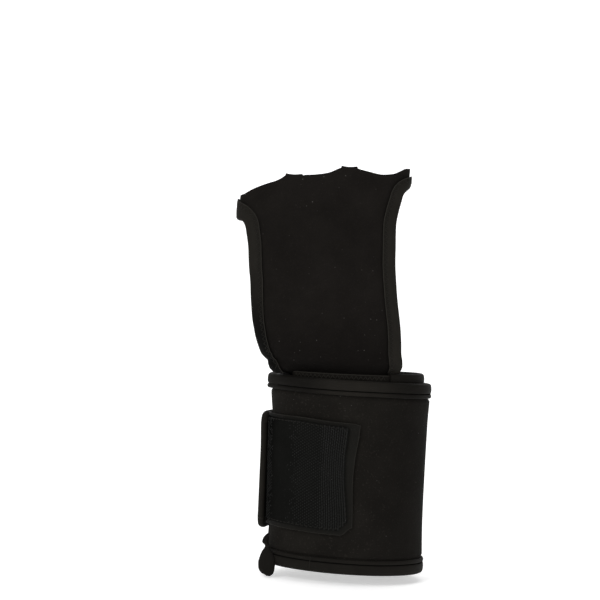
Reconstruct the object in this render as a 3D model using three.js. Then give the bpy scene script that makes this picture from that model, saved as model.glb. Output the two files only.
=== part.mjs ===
import * as THREE from "three";

// A left-hand weightlifting glove: a suede grip panel with three finger holes and an open
// back, carried by a neoprene wrist wrap that goes twice round and closes with a tab.
// Millimetres. +Z runs up the forearm to the fingers, -Y is the palm side and +X is the
// little-finger side. The origin is the centre of the wrist opening, at the lower rim.

// Wrist wrap: one long strip, wound from the inside outwards.
const STRIP_HEIGHT = 84.2;
const STRIP_WALL = 3.0;
const STRIP_EDGE_WALL = 1.5;
const STRIP_START_DEG = -56;
const STRIP_END_DEG = 632;
const STRIP_STEP_DEG = 8;
const CORE_HALF_WIDTH = 31.9;
const CORE_HALF_DEPTH = 23.8;
const STRIP_RISE = 4.5;
const STRAP_CORNER = 6;

// Binding tape folded over the edges, and the clearances between sewn pieces.
const TAPE_WALL = 0.65;
const TAPE_CLEAR = 0.25;
const WRAP_TAPE_LEG = 5.0;
const PALM_TAPE_LEG = 5.2;
const PALM_TAPE_CLEAR = 0.35;
const PALM_TAPE_SQUARE = 7;
const LAYER_CLEAR = 0.3;
const SEAM_CLEAR = 0.35;
const WRAP_TAPE_START_DEG = 32;

// Palm panel: its length above the wrap and the sleeve round the finger roots.
const PANEL_WALL = 1.6;
const PANEL_TUCK = 8.6;
const THUMB_SIDE_DROP = 3.9;
const PALM_LENGTH = 94.3;
const SLEEVE_HALF_WIDTH = 37.1;
const SLEEVE_HALF_DEPTH = 11.2;
const SLEEVE_ACROSS = 17.1;
const SLEEVE_FORWARD = 5.7;
const WEB_STRIP_ROWS = 8;

// Closing tab: a flat hook-backed tape sewn under the strap end.
const TAB_WALL = 1.0;
const TAB_PATCH_WALL = 0.6;
const TAB_REACH_DEG = 100;
const TAB_START_DEG = -94;
const TAB_HEIGHT = 49.4;
const TAB_FOOT = 17.6;
const TAB_CLEAR = 0.5;
const TAB_PATCH_BORDER = 2.0;

// Turned tape end at the lower thumb-side corner.
const TAIL_HEIGHT = 12.6;
const TAIL_WIDTH = 8.2;
const TAIL_WALL = 3.0;

// Mesh spacing of the soft sheets.
const PANEL_EDGE_STEP = 3.8;
const PANEL_FOOT_STEP = 2.4;
const PANEL_FIELD_STEP = 4.8;
const SHEET_GIRTH = 180;

// Sizes that follow from the ones above.
const TAPE_BUILD = TAPE_CLEAR + TAPE_WALL;
const LAYER_STEP = STRIP_EDGE_WALL + 2 * TAPE_BUILD + LAYER_CLEAR;
const STRAP_STEP = LAYER_STEP + TAB_WALL + 2 * SEAM_CLEAR;
const CUFF_TOP = STRIP_HEIGHT + STRIP_RISE;
const PANEL_INSET = STRIP_WALL / 2 + LAYER_CLEAR + PANEL_WALL / 2 + 0.2;
const PANEL_LEAVES = CUFF_TOP + TAPE_BUILD + LAYER_CLEAR;
const RAD = Math.PI / 180;

// Waist of the cuff up its height: shares of the core half width and depth, and the
// sideways shift as a share of the core half width.
const CUFF_FORM = [
  { rise: 0.00, wide: 0.986, deep: 0.985, shift: 0.008 },
  { rise: 0.12, wide: 0.962, deep: 0.970, shift: 0.012 },
  { rise: 0.30, wide: 0.950, deep: 0.962, shift: 0.012 },
  { rise: 0.55, wide: 0.950, deep: 0.965, shift: 0.008 },
  { rise: 0.80, wide: 0.966, deep: 0.975, shift: 0.004 },
  { rise: 0.95, wide: 0.995, deep: 0.995, shift: -0.004 },
  { rise: 1.06, wide: 1.000, deep: 1.000, shift: -0.006 },
];

// How the strip climbs and narrows as it winds: the foot and head of the strip as shares
// of the strip height, and the number of layers it stands out from the core.
const STRIP_COURSE = [
  { turn: -56, foot: 0.053, head: 1.053 },
  { turn: 90, foot: 0.053, head: 1.053 },
  { turn: 270, foot: 0.024, head: 1.024 },
  { turn: 360, foot: 0.012, head: 1.011 },
  { turn: 450, foot: 0.000, head: 1.000 },
  { turn: 500, foot: 0.006, head: 0.994 },
  { turn: 540, foot: 0.060, head: 0.945 },
  { turn: 580, foot: 0.175, head: 0.850 },
  { turn: 606, foot: 0.210, head: 0.818 },
  { turn: 632, foot: 0.212, head: 0.814 },
];
const FIRST_LIFT = { from: 232, to: 282 };
const SECOND_LIFT = { from: 590, to: 640 };

// Sections of the grip panel above the wrap. rise: share of the palm length. wide, deep:
// shares of the sleeve half width and half depth. across, forward: shares of the sleeve
// shifts. square: exponent of the section.
const PALM_FORM = [
  { rise: 0.052, wide: 1.030, deep: 2.14, across: 0.080, forward: 0.000, square: 2.0 },
  { rise: 0.085, wide: 1.130, deep: 2.20, across: 0.160, forward: 0.000, square: 2.0 },
  { rise: 0.188, wide: 1.175, deep: 2.12, across: 0.410, forward: 0.000, square: 2.1 },
  { rise: 0.418, wide: 1.119, deep: 1.68, across: 0.820, forward: 0.530, square: 2.3 },
  { rise: 0.591, wide: 1.051, deep: 1.29, across: 0.965, forward: 0.880, square: 2.6 },
  { rise: 0.686, wide: 1.013, deep: 1.09, across: 0.995, forward: 0.965, square: 2.8 },
  { rise: 0.750, wide: 1.000, deep: 1.01, across: 1.000, forward: 1.000, square: 2.8 },
  { rise: 0.860, wide: 1.003, deep: 1.00, across: 0.965, forward: 1.000, square: 2.8 },
  { rise: 0.950, wide: 1.008, deep: 0.99, across: 0.935, forward: 1.000, square: 2.8 },
  { rise: 1.050, wide: 1.010, deep: 0.98, across: 0.925, forward: 1.000, square: 2.8 },
];

// Little-finger side edge, from inside the wrap up to the loop round the ring finger and
// on to the middle of the back. out: share of the half width. girth: share of the way
// round from the middle of the front, where the edge has left the front.
const RIGHT_EDGE = [
  { out: 0.690, rise: -0.088 },
  { out: 0.695, rise: -0.020 },
  { out: 0.700, rise: 0.013 },
  { out: 0.642, rise: 0.028 },
  { out: 0.581, rise: 0.052 },
  { out: 0.552, rise: 0.085 },
  { out: 0.598, rise: 0.168 },
  { out: 0.667, rise: 0.281 },
  { out: 0.730, rise: 0.396 },
  { out: 0.781, rise: 0.509 },
  { out: 0.837, rise: 0.620 },
  { out: 0.866, rise: 0.700 },
  { out: 0.887, rise: 0.765 },
  { out: 0.914, rise: 0.830 },
  { out: 0.948, rise: 0.878 },
  { girth: 0.241, rise: 0.898 },
  { girth: 0.262, rise: 0.901 },
  { girth: 0.290, rise: 0.888 },
  { girth: 0.335, rise: 0.862 },
  { girth: 0.385, rise: 0.828 },
  { girth: 0.440, rise: 0.797 },
  { girth: 0.500, rise: 0.773 },
];

// Thumb side edge, from the middle of the back round the forefinger loop and down.
const LEFT_EDGE = [
  { girth: -0.500, rise: 0.773 },
  { girth: -0.440, rise: 0.752 },
  { girth: -0.380, rise: 0.735 },
  { girth: -0.320, rise: 0.724 },
  { girth: -0.270, rise: 0.720 },
  { girth: -0.240, rise: 0.719 },
  { out: -0.940, rise: 0.711 },
  { out: -0.888, rise: 0.687 },
  { out: -0.857, rise: 0.652 },
  { out: -0.818, rise: 0.590 },
  { out: -0.792, rise: 0.475 },
  { out: -0.785, rise: 0.418 },
  { out: -0.808, rise: 0.303 },
  { out: -0.827, rise: 0.247 },
  { out: -0.842, rise: 0.190 },
  { out: -0.867, rise: 0.134 },
  { out: -0.885, rise: 0.103 },
  { out: -0.894, rise: 0.080 },
  { out: -0.892, rise: 0.052 },
  { out: -0.908, rise: 0.018 },
  { out: -0.950, rise: 0.003 },
  { out: -0.985, rise: -0.013 },
  { out: -0.985, rise: -0.088 },
];

// Raw upper edge in its five runs between the ends of the two web strips.
const BACK_MIDDLE_RIGHT = [
  { girth: 0.500, rise: 0.918 },
  { girth: 0.480, rise: 0.926 },
  { girth: 0.467, rise: 0.934 },
  { girth: 0.462, rise: 0.944 },
];
const RING_RUN = [
  { girth: 0.426, rise: 0.948 },
  { girth: 0.419, rise: 0.940 },
  { girth: 0.400, rise: 0.936 },
  { girth: 0.360, rise: 0.942 },
  { girth: 0.310, rise: 0.958 },
  { girth: 0.275, rise: 0.972 },
  { girth: 0.250, rise: 0.982 },
  { out: 0.960, rise: 0.977 },
  { out: 0.900, rise: 0.966 },
  { out: 0.830, rise: 0.954 },
  { out: 0.719, rise: 0.948 },
  { out: 0.647, rise: 0.950 },
  { out: 0.573, rise: 0.959 },
  { out: 0.500, rise: 0.969 },
  { out: 0.426, rise: 0.978 },
  { out: 0.392, rise: 0.981 },
  { out: 0.372, rise: 0.984 },
];
const MIDDLE_RUN = [
  { out: 0.176, rise: 0.984 },
  { out: 0.160, rise: 0.981 },
  { out: 0.134, rise: 0.977 },
  { out: 0.061, rise: 0.962 },
  { out: -0.013, rise: 0.953 },
  { out: -0.086, rise: 0.948 },
  { out: -0.158, rise: 0.944 },
  { out: -0.233, rise: 0.942 },
  { out: -0.270, rise: 0.940 },
  { out: -0.286, rise: 0.936 },
];
const INDEX_RUN = [
  { out: -0.488, rise: 0.938 },
  { out: -0.504, rise: 0.935 },
  { out: -0.530, rise: 0.930 },
  { out: -0.598, rise: 0.918 },
  { out: -0.671, rise: 0.908 },
  { out: -0.743, rise: 0.898 },
  { out: -0.818, rise: 0.888 },
  { out: -0.890, rise: 0.877 },
  { out: -0.955, rise: 0.864 },
  { girth: -0.245, rise: 0.850 },
  { girth: -0.275, rise: 0.846 },
  { girth: -0.320, rise: 0.852 },
  { girth: -0.370, rise: 0.868 },
  { girth: -0.398, rise: 0.884 },
  { girth: -0.406, rise: 0.894 },
];
const BACK_MIDDLE_LEFT = [
  { girth: -0.446, rise: 0.904 },
  { girth: -0.453, rise: 0.899 },
  { girth: -0.475, rise: 0.906 },
  { girth: -0.500, rise: 0.918 },
];
// Height of each web strip where it passes between two fingers, share of palm length.
const WEB_CREST = { ring: 0.978, index: 0.930 };
const WEB_LIP = 0.010;

// Outline of the closing tab. reach: share of the way from the strap to the free end.
// rise: share of the tab height.
const TAB_HEAD = [
  { reach: 0.00, rise: 1.046 },
  { reach: 0.20, rise: 1.040 },
  { reach: 0.55, rise: 1.036 },
  { reach: 0.80, rise: 1.012 },
  { reach: 0.97, rise: 1.000 },
  { reach: 1.00, rise: 0.988 },
];
const TAB_SOLE = [
  { reach: 0.00, rise: 0.052 },
  { reach: 0.20, rise: 0.046 },
  { reach: 0.55, rise: 0.028 },
  { reach: 0.80, rise: 0.008 },
  { reach: 0.92, rise: 0.000 },
  { reach: 1.00, rise: 0.072 },
];
const TAB_FREE_END = [
  { rise: 0.00, reach: 0.970 },
  { rise: 0.12, reach: 0.970 },
  { rise: 0.48, reach: 0.963 },
  { rise: 0.66, reach: 0.971 },
  { rise: 1.00, reach: 1.000 },
];

// Turned tape end, from its root down. rise: share of the height. wide, thick: shares of
// the half width and half wall. across, off: shares of the width, sideways and outwards.
const TAIL_FORM = [
  { rise: 1.00, wide: 0.18, thick: 0.40, across: 0.20, off: 0.05 },
  { rise: 0.86, wide: 0.46, thick: 0.62, across: 0.10, off: 0.04 },
  { rise: 0.68, wide: 0.82, thick: 0.90, across: -0.02, off: 0.04 },
  { rise: 0.46, wide: 1.00, thick: 1.00, across: -0.08, off: 0.05 },
  { rise: 0.24, wide: 0.94, thick: 1.00, across: -0.06, off: 0.08 },
  { rise: 0.09, wide: 0.68, thick: 0.90, across: -0.01, off: 0.09 },
  { rise: 0.00, wide: 0.26, thick: 0.50, across: 0.03, off: 0.10 },
];

// Value of one column of a table at a place along it, without overshoot.
function read(table, key, at, column) {
  const last = table.length - 1;
  if (at <= table[0][key]) return table[0][column];
  if (at >= table[last][key]) return table[last][column];
  let i = 0;
  while (table[i + 1][key] < at) i += 1;
  const rate = (k) => (table[k + 1][column] - table[k][column])
    / (table[k + 1][key] - table[k][key]);
  const slope = (k) => {
    if (k === 0 || k === last) return 0;
    const before = rate(k - 1);
    const after = rate(k);
    if (before * after <= 0) return 0;
    return 2 * before * after / (before + after);
  };
  const span = table[i + 1][key] - table[i][key];
  const t = (at - table[i][key]) / span;
  const s = 1 - t;
  return (1 + 2 * t) * s * s * table[i][column] + t * s * s * span * slope(i)
    + (1 + 2 * s) * t * t * table[i + 1][column] - s * t * t * span * slope(i + 1);
}

function smooth(t) {
  const c = Math.min(1, Math.max(0, t));
  return c * c * (3 - 2 * c);
}

// The strip winds on ovals. Its place for a turn in degrees, a height and an extra step
// outwards.
function layerOf(turn) {
  const first = smooth((turn - FIRST_LIFT.from) / (FIRST_LIFT.to - FIRST_LIFT.from));
  const second = smooth((turn - SECOND_LIFT.from) / (SECOND_LIFT.to - SECOND_LIFT.from));
  return LAYER_STEP * first + STRAP_STEP * second;
}

function cuffPoint(turn, z, out) {
  const rise = z / STRIP_HEIGHT;
  const a = read(CUFF_FORM, "rise", rise, "wide") * CORE_HALF_WIDTH + out;
  const b = read(CUFF_FORM, "rise", rise, "deep") * CORE_HALF_DEPTH + out;
  const shift = read(CUFF_FORM, "rise", rise, "shift") * CORE_HALF_WIDTH;
  return new THREE.Vector3(
    shift + a * Math.sin(turn * RAD),
    -b * Math.cos(turn * RAD),
    z,
  );
}

function normalOf(place, u, v, du, dv) {
  const alongU = place(u + du, v).sub(place(u - du, v));
  const alongV = place(u, v + dv).sub(place(u, v - dv));
  return alongU.cross(alongV).normalize();
}

const stripPlace = (turn, z) => cuffPoint(turn, z, layerOf(turn));
const stripNormal = (turn, z) => normalOf(stripPlace, turn, z, 0.5, 0.3);

// Section of the grip panel at a height: below the wrap's top it follows the wrap.
const PALM_SECTIONS = [
  {
    z: CUFF_TOP - PANEL_TUCK - 4,
    a: CORE_HALF_WIDTH * 0.985 - PANEL_INSET,
    b: CORE_HALF_DEPTH * 0.985 - PANEL_INSET,
    x: 0,
    y: 0,
    n: 2,
  },
  {
    z: PANEL_LEAVES,
    a: CORE_HALF_WIDTH - PANEL_INSET,
    b: CORE_HALF_DEPTH - PANEL_INSET,
    x: 0,
    y: 0,
    n: 2,
  },
];
for (const row of PALM_FORM) {
  PALM_SECTIONS.push({
    z: CUFF_TOP + row.rise * PALM_LENGTH,
    a: row.wide * SLEEVE_HALF_WIDTH,
    b: row.deep * SLEEVE_HALF_DEPTH,
    x: -row.across * SLEEVE_ACROSS,
    y: -row.forward * SLEEVE_FORWARD,
    n: row.square,
  });
}

// A quarter of the section as points at even angles, with the length along it.
const quarters = new Map();
function quarterAt(z) {
  const label = Math.round(z * 1e4);
  if (quarters.has(label)) return quarters.get(label);
  const section = {};
  for (const column of ["a", "b", "x", "y", "n"]) {
    section[column] = read(PALM_SECTIONS, "z", z, column);
  }
  const points = [];
  let run = 0;
  for (let i = 0; i <= 48; i += 1) {
    const t = (i / 48) * Math.PI / 2;
    const s = Math.abs(Math.sin(t));
    const c = Math.abs(Math.cos(t));
    const k = (s ** section.n + c ** section.n) ** (-1 / section.n);
    const p = { w: k * section.a * s, d: k * section.b * c, run: 0 };
    if (i > 0) run += Math.hypot(p.w - points[i - 1].w, p.d - points[i - 1].d);
    p.run = run;
    points.push(p);
  }
  const quarter = { section, points, run };
  quarters.set(label, quarter);
  return quarter;
}

function between(points, key, at) {
  let i = 0;
  while (i < points.length - 2 && points[i + 1][key] < at) i += 1;
  const p = points[i];
  const q = points[i + 1];
  const t = Math.min(1, Math.max(0, (at - p[key]) / (q[key] - p[key])));
  return { w: p.w + (q.w - p.w) * t, d: p.d + (q.d - p.d) * t, run: p.run + (q.run - p.run) * t };
}

// The panel's own flat layout: how far round in millimetres of the sheet girth, and z.
// On the thumb side it opens outwards lower down, beside the start of the strip.
function palmPlace(round, z) {
  let girth = round / SHEET_GIRTH;
  girth -= Math.round(girth);
  const side = girth < 0 ? -1 : 1;
  const size = Math.abs(girth);
  const front = size <= 0.25;
  const share = front ? size / 0.25 : (0.5 - size) / 0.25;
  const beside = side < 0 ? smooth((share - 0.71) / 0.16) : 0;
  const drop = THUMB_SIDE_DROP * beside * (1 - smooth((z - CUFF_TOP - 2) / 8));
  const { section, points, run } = quarterAt(z + drop);
  const p = between(points, "run", share * run);
  return new THREE.Vector3(section.x + side * p.w, section.y + (front ? -p.d : p.d), z);
}
const palmNormal = (round, z) => normalOf(palmPlace, round, z, 0.4, 0.4);

function layOut(row) {
  const z = CUFF_TOP + row.rise * PALM_LENGTH;
  if (row.girth !== undefined) return { round: row.girth * SHEET_GIRTH, z };
  const { section, points, run } = quarterAt(z);
  const size = Math.min(0.9999, Math.abs(row.out)) * section.a;
  const share = between(points, "w", size).run / run;
  return { round: Math.sign(row.out) * 0.25 * share * SHEET_GIRTH, z };
}

// Even steps along a smooth line through laid-out rows. Stops are heights that split the
// line, so that a step falls exactly there and each part has its own step.
function runAlong(rows, steps, stops = []) {
  const marks = rows.map(layOut);
  const curve = new THREE.CatmullRomCurve3(
    marks.map((m) => new THREE.Vector3(m.round, m.z, 0)),
    false,
    "centripetal",
  );
  const fine = curve.getSpacedPoints(400);
  const lengths = [0];
  for (let i = 1; i < fine.length; i += 1) {
    lengths.push(lengths[i - 1] + fine[i].distanceTo(fine[i - 1]));
  }
  const total = lengths[lengths.length - 1];
  const cuts = [0];
  for (const stop of stops) {
    const i = fine.findIndex((p, k) => k > 0 && (p.y - stop) * (fine[k - 1].y - stop) <= 0);
    const t = (stop - fine[i - 1].y) / (fine[i].y - fine[i - 1].y);
    cuts.push(lengths[i - 1] + t * (lengths[i] - lengths[i - 1]));
  }
  cuts.push(total);
  const at = (length) => {
    let i = 0;
    while (i < fine.length - 2 && lengths[i + 1] < length) i += 1;
    const t = (length - lengths[i]) / (lengths[i + 1] - lengths[i]);
    return {
      round: fine[i].x + (fine[i + 1].x - fine[i].x) * t,
      z: fine[i].y + (fine[i + 1].y - fine[i].y) * t,
    };
  };
  const out = [at(0)];
  for (let c = 1; c < cuts.length; c += 1) {
    const span = cuts[c] - cuts[c - 1];
    const count = Math.max(1, Math.round(span / steps[c - 1]));
    for (let i = 1; i <= count; i += 1) out.push(at(cuts[c - 1] + span * i / count));
  }
  return out;
}

function straight(from, to, count) {
  const out = [];
  for (let i = 0; i <= count; i += 1) {
    const t = i / count;
    out.push({ round: from.round + (to.round - from.round) * t, z: from.z + (to.z - from.z) * t });
  }
  return out;
}

// Delaunay triangles of flat points.
function triangulate(points) {
  const n = points.length;
  const all = points.map((p, i) => [
    p.round + 1e-4 * Math.sin(12.9898 * i + 1),
    p.z + 1e-4 * Math.sin(78.233 * i + 2),
  ]);
  all.push([-2000, -2000], [2000, -2000], [0, 3000]);
  const circle = (i, j, k) => {
    const [ax, ay] = all[i];
    const [bx, by] = all[j];
    const [cx, cy] = all[k];
    const d = 2 * (ax * (by - cy) + bx * (cy - ay) + cx * (ay - by));
    const a2 = ax * ax + ay * ay;
    const b2 = bx * bx + by * by;
    const c2 = cx * cx + cy * cy;
    const x = (a2 * (by - cy) + b2 * (cy - ay) + c2 * (ay - by)) / d;
    const y = (a2 * (cx - bx) + b2 * (ax - cx) + c2 * (bx - ax)) / d;
    return { v: [i, j, k], x, y, r: (ax - x) ** 2 + (ay - y) ** 2 };
  };
  let triangles = [circle(n, n + 1, n + 2)];
  for (let p = 0; p < n; p += 1) {
    const [x, y] = all[p];
    const open = new Map();
    const kept = [];
    for (const t of triangles) {
      if ((t.x - x) ** 2 + (t.y - y) ** 2 >= t.r) {
        kept.push(t);
        continue;
      }
      for (let e = 0; e < 3; e += 1) {
        const i = t.v[e];
        const j = t.v[(e + 1) % 3];
        if (open.has(`${j}_${i}`)) open.delete(`${j}_${i}`);
        else open.set(`${i}_${j}`, [i, j]);
      }
    }
    for (const [i, j] of open.values()) kept.push(circle(i, j, p));
    triangles = kept;
  }
  return triangles.map((t) => t.v).filter((v) => v.every((i) => i < n));
}

function inside(x, y, loop) {
  let odd = false;
  for (let i = 0, j = loop.length - 1; i < loop.length; j = i, i += 1) {
    const p = loop[i];
    const q = loop[j];
    if ((p.z > y) !== (q.z > y) && x < (q.round - p.round) * (y - p.z) / (q.z - p.z) + p.round) {
      odd = !odd;
    }
  }
  return odd;
}

function gapTo(x, y, loop) {
  let best = Infinity;
  for (let i = 0; i < loop.length; i += 1) {
    const p = loop[i];
    const q = loop[(i + 1) % loop.length];
    const dx = q.round - p.round;
    const dy = q.z - p.z;
    const t = Math.min(1, Math.max(0, ((x - p.round) * dx + (y - p.z) * dy) / (dx * dx + dy * dy)));
    best = Math.min(best, Math.hypot(x - p.round - t * dx, y - p.z - t * dy));
  }
  return best;
}

// A closed body from a sheet's middle surface. Each vertex has its place, its normal and
// its wall.
function sheetBody(vertices, triangles) {
  const position = [];
  for (const side of [1, -1]) {
    for (const v of vertices) {
      const p = v.place.clone().addScaledVector(v.normal, side * v.wall / 2);
      position.push(p.x, p.y, p.z);
    }
  }
  const count = vertices.length;
  const index = [];
  const edges = new Map();
  for (const [i, j, k] of triangles) {
    index.push(i, j, k, i + count, k + count, j + count);
    for (const [p, q] of [[i, j], [j, k], [k, i]]) {
      if (edges.has(`${q}_${p}`)) edges.delete(`${q}_${p}`);
      else edges.set(`${p}_${q}`, [p, q]);
    }
  }
  for (const [p, q] of edges.values()) {
    index.push(q, p, p + count, q, p + count, q + count);
  }
  return bodyFrom(position, index);
}

function bodyFrom(position, index) {
  const geometry = new THREE.BufferGeometry();
  geometry.setAttribute("position", new THREE.Float32BufferAttribute(position, 3));
  geometry.setIndex(index);
  geometry.computeVertexNormals();
  return geometry;
}

// A closed body swept through rings of equal length, given as outer and inner chains.
function chainBody(rings) {
  const position = [];
  const index = [];
  const half = rings[0].outer.length;
  const size = 2 * half;
  for (const ring of rings) {
    for (const p of [...ring.outer, ...ring.inner.slice().reverse()]) {
      position.push(p.x, p.y, p.z);
    }
  }
  for (let r = 0; r < rings.length - 1; r += 1) {
    for (let k = 0; k < size; k += 1) {
      const a = r * size + k;
      const b = r * size + (k + 1) % size;
      index.push(a, b, b + size, a, b + size, a + size);
    }
  }
  const last = (rings.length - 1) * size;
  for (let k = 0; k < half - 1; k += 1) {
    const a = k;
    const b = k + 1;
    const c = size - 2 - k;
    const d = size - 1 - k;
    index.push(a, c, b, a, d, c);
    index.push(last + a, last + b, last + c, last + a, last + c, last + d);
  }
  const body = bodyFrom(position, index);
  return signedVolume(body) < 0 ? turnedInsideOut(body) : body;
}

function signedVolume(geometry) {
  const p = geometry.getAttribute("position");
  const index = geometry.getIndex();
  const a = new THREE.Vector3();
  const b = new THREE.Vector3();
  const c = new THREE.Vector3();
  let sum = 0;
  for (let i = 0; i < index.count; i += 3) {
    a.fromBufferAttribute(p, index.getX(i));
    b.fromBufferAttribute(p, index.getX(i + 1));
    c.fromBufferAttribute(p, index.getX(i + 2));
    sum += a.dot(b.cross(c)) / 6;
  }
  return sum;
}

function turnedInsideOut(geometry) {
  const index = Array.from(geometry.getIndex().array);
  for (let i = 0; i < index.length; i += 3) {
    const swap = index[i + 1];
    index[i + 1] = index[i + 2];
    index[i + 2] = swap;
  }
  geometry.setIndex(index);
  geometry.computeVertexNormals();
  return geometry;
}

// Where a point set back from an edge lies in a sheet's own layout. The edge runs from
// one neighbour to the next, and the sheet lies to the left of it. Level is the share to
// which the setting back keeps to the same height instead of square to the edge.
function setBack(place, normal, before, at, after, distance, level = 0) {
  const run = place(after[0], after[1]).sub(place(before[0], before[1])).normalize();
  const inward = normal(at[0], at[1]).cross(run).normalize();
  const h = 0.05;
  const du = place(at[0] + h, at[1]).sub(place(at[0] - h, at[1])).divideScalar(2 * h);
  const dv = place(at[0], at[1] + h).sub(place(at[0], at[1] - h)).divideScalar(2 * h);
  const uu = du.dot(du);
  const uv = du.dot(dv);
  const vv = dv.dot(dv);
  const iu = inward.dot(du);
  const iv = inward.dot(dv);
  const det = uu * vv - uv * uv;
  const squareU = (iu * vv - iv * uv) / det;
  const squareV = (iv * uu - iu * uv) / det;
  const levelU = Math.sign(squareU) / Math.sqrt(uu);
  return [
    at[0] + distance * (squareU + (levelU - squareU) * level),
    at[1] + distance * squareV * (1 - level),
  ];
}

// One ring of folded tape: two legs over the sheet's faces, joined round its edge.
function tapeRing(place, normal, before, at, after, wall, clear, leg, stops, level) {
  const run = place(after[0], after[1]).sub(place(before[0], before[1])).normalize();
  const face = normal(at[0], at[1]);
  const outward = run.clone().cross(face).normalize();
  const edge = place(at[0], at[1]);
  const legPoint = (share, height) => {
    const [u, v] = setBack(place, normal, before, at, after, share * leg, level);
    return place(u, v).addScaledVector(normal(u, v), height);
  };
  const near = wall / 2 + clear;
  const far = near + TAPE_WALL;
  const outer = [];
  const inner = [];
  for (const share of stops) {
    outer.push(legPoint(share, far));
    inner.push(legPoint(share, near));
  }
  outer.push(edge.clone().addScaledVector(outward, clear + TAPE_WALL));
  inner.push(edge.clone().addScaledVector(outward, clear));
  for (const share of stops.slice().reverse()) {
    outer.push(legPoint(share, -far));
    inner.push(legPoint(share, -near));
  }
  return { outer, inner };
}

function tapeAlong(place, normal, path, wall, clear, leg, stops, levelAt = () => 0) {
  const rings = path.map((at, i) => tapeRing(
    place,
    normal,
    path[Math.max(0, i - 1)],
    at,
    path[Math.min(path.length - 1, i + 1)],
    wall,
    clear,
    leg,
    stops,
    levelAt(at),
  ));
  return chainBody(rings);
}

// Grip panel, from its outline in the flat layout.
const outerHeadAtThumb = read(STRIP_COURSE, "turn", 270, "head") * STRIP_HEIGHT;
const rightFoot = PANEL_LEAVES + 0.1;
const leftFoot = outerHeadAtThumb + TAPE_BUILD + SEAM_CLEAR + PANEL_FOOT_STEP * 0.75;
const rightEdge = runAlong(
  RIGHT_EDGE,
  [PANEL_EDGE_STEP, PANEL_FOOT_STEP, PANEL_EDGE_STEP],
  [rightFoot, rightFoot + PALM_TAPE_SQUARE],
);
const leftEdge = runAlong(
  LEFT_EDGE,
  [PANEL_EDGE_STEP, PANEL_FOOT_STEP, PANEL_EDGE_STEP],
  [leftFoot + PALM_TAPE_SQUARE, leftFoot],
);
const backMiddleRight = runAlong(BACK_MIDDLE_RIGHT, [PANEL_EDGE_STEP]);
const ringRun = runAlong(RING_RUN, [PANEL_EDGE_STEP]);
const middleRun = runAlong(MIDDLE_RUN, [PANEL_EDGE_STEP]);
const indexRun = runAlong(INDEX_RUN, [PANEL_EDGE_STEP]);
const backMiddleLeft = runAlong(BACK_MIDDLE_LEFT, [PANEL_EDGE_STEP]);
const first = (run) => run[0];
const final = (run) => run[run.length - 1];

const ringBackEnd = straight(final(backMiddleRight), first(ringRun), 4);
const ringFrontEnd = straight(final(ringRun), first(middleRun), 4);
const indexFrontEnd = straight(final(middleRun), first(indexRun), 4);
const indexBackEnd = straight(final(indexRun), first(backMiddleLeft), 4);
const rightCut = straight(final(rightEdge), first(backMiddleRight), 4);
const leftCut = straight(final(backMiddleLeft), first(leftEdge), 4);
const footRun = straight(final(leftEdge), first(rightEdge), 12);

const loop = [];
for (const run of [
  rightEdge, rightCut, backMiddleRight, ringBackEnd, ringRun, ringFrontEnd, middleRun,
  indexFrontEnd, indexRun, indexBackEnd, backMiddleLeft, leftCut, leftEdge, footRun,
]) {
  for (const p of run.slice(0, -1)) loop.push(p);
}

const rightTaped = rightEdge.filter((p) => p.z > rightFoot - 0.01);
const leftTaped = leftEdge.filter((p) => p.z > leftFoot - 0.01);
// The taped edge as one path, with the sheet on its left: up the little-finger side,
// round the back and down the thumb side.
const palmTapePath = [
  ...rightTaped.map((p) => [p.round, p.z]),
  ...leftTaped.slice(1).map((p) => [p.round + SHEET_GIRTH, p.z]),
];

// The tape is cut level where it meets the wrap.
function palmTapeLevel(at) {
  const foot = at[0] > SHEET_GIRTH / 2 ? leftFoot : rightFoot;
  return 1 - smooth((at[1] - foot) / PALM_TAPE_SQUARE);
}

const field = [];
palmTapePath.forEach((at, i) => {
  const before = palmTapePath[Math.max(0, i - 1)];
  const after = palmTapePath[Math.min(palmTapePath.length - 1, i + 1)];
  for (const share of [0.5, 1.03]) {
    const distance = share * PALM_TAPE_LEG;
    const level = palmTapeLevel(at);
    const [u, v] = setBack(palmPlace, palmNormal, before, at, after, distance, level);
    const round = i < rightTaped.length - 1 ? u : u - SHEET_GIRTH;
    const onCut = i === rightTaped.length - 1;
    const copies = onCut ? [SHEET_GIRTH / 2, -SHEET_GIRTH / 2] : [round];
    for (const r of copies) {
      const p = { round: r, z: v };
      const clear = onCut || (inside(p.round, p.z, loop) && gapTo(p.round, p.z, loop) > 0.8);
      const apart = field.every((q) => Math.hypot(q.round - p.round, q.z - p.z) > 1.0);
      if (clear && apart && !onCut) field.push(p);
    }
  }
});
const rowStep = PANEL_FIELD_STEP * Math.sqrt(3) / 2;
for (let row = -2; row < 36; row += 1) {
  for (let column = -24; column <= 24; column += 1) {
    const p = {
      round: (column + (Math.abs(row) % 2) / 2) * PANEL_FIELD_STEP,
      z: PANEL_LEAVES + row * rowStep,
    };
    if (!inside(p.round, p.z, loop)) continue;
    if (gapTo(p.round, p.z, loop) < 0.62 * PANEL_FIELD_STEP) continue;
    if (field.some((q) => Math.hypot(q.round - p.round, q.z - p.z) < 0.62 * PANEL_FIELD_STEP)) {
      continue;
    }
    field.push(p);
  }
}

const flat = [...loop, ...field];
const panelTriangles = triangulate(flat).filter(([i, j, k]) => inside(
  (flat[i].round + flat[j].round + flat[k].round) / 3,
  (flat[i].z + flat[j].z + flat[k].z) / 3,
  loop,
));
const panelPlaces = flat.map((p) => palmPlace(p.round, p.z));

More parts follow.
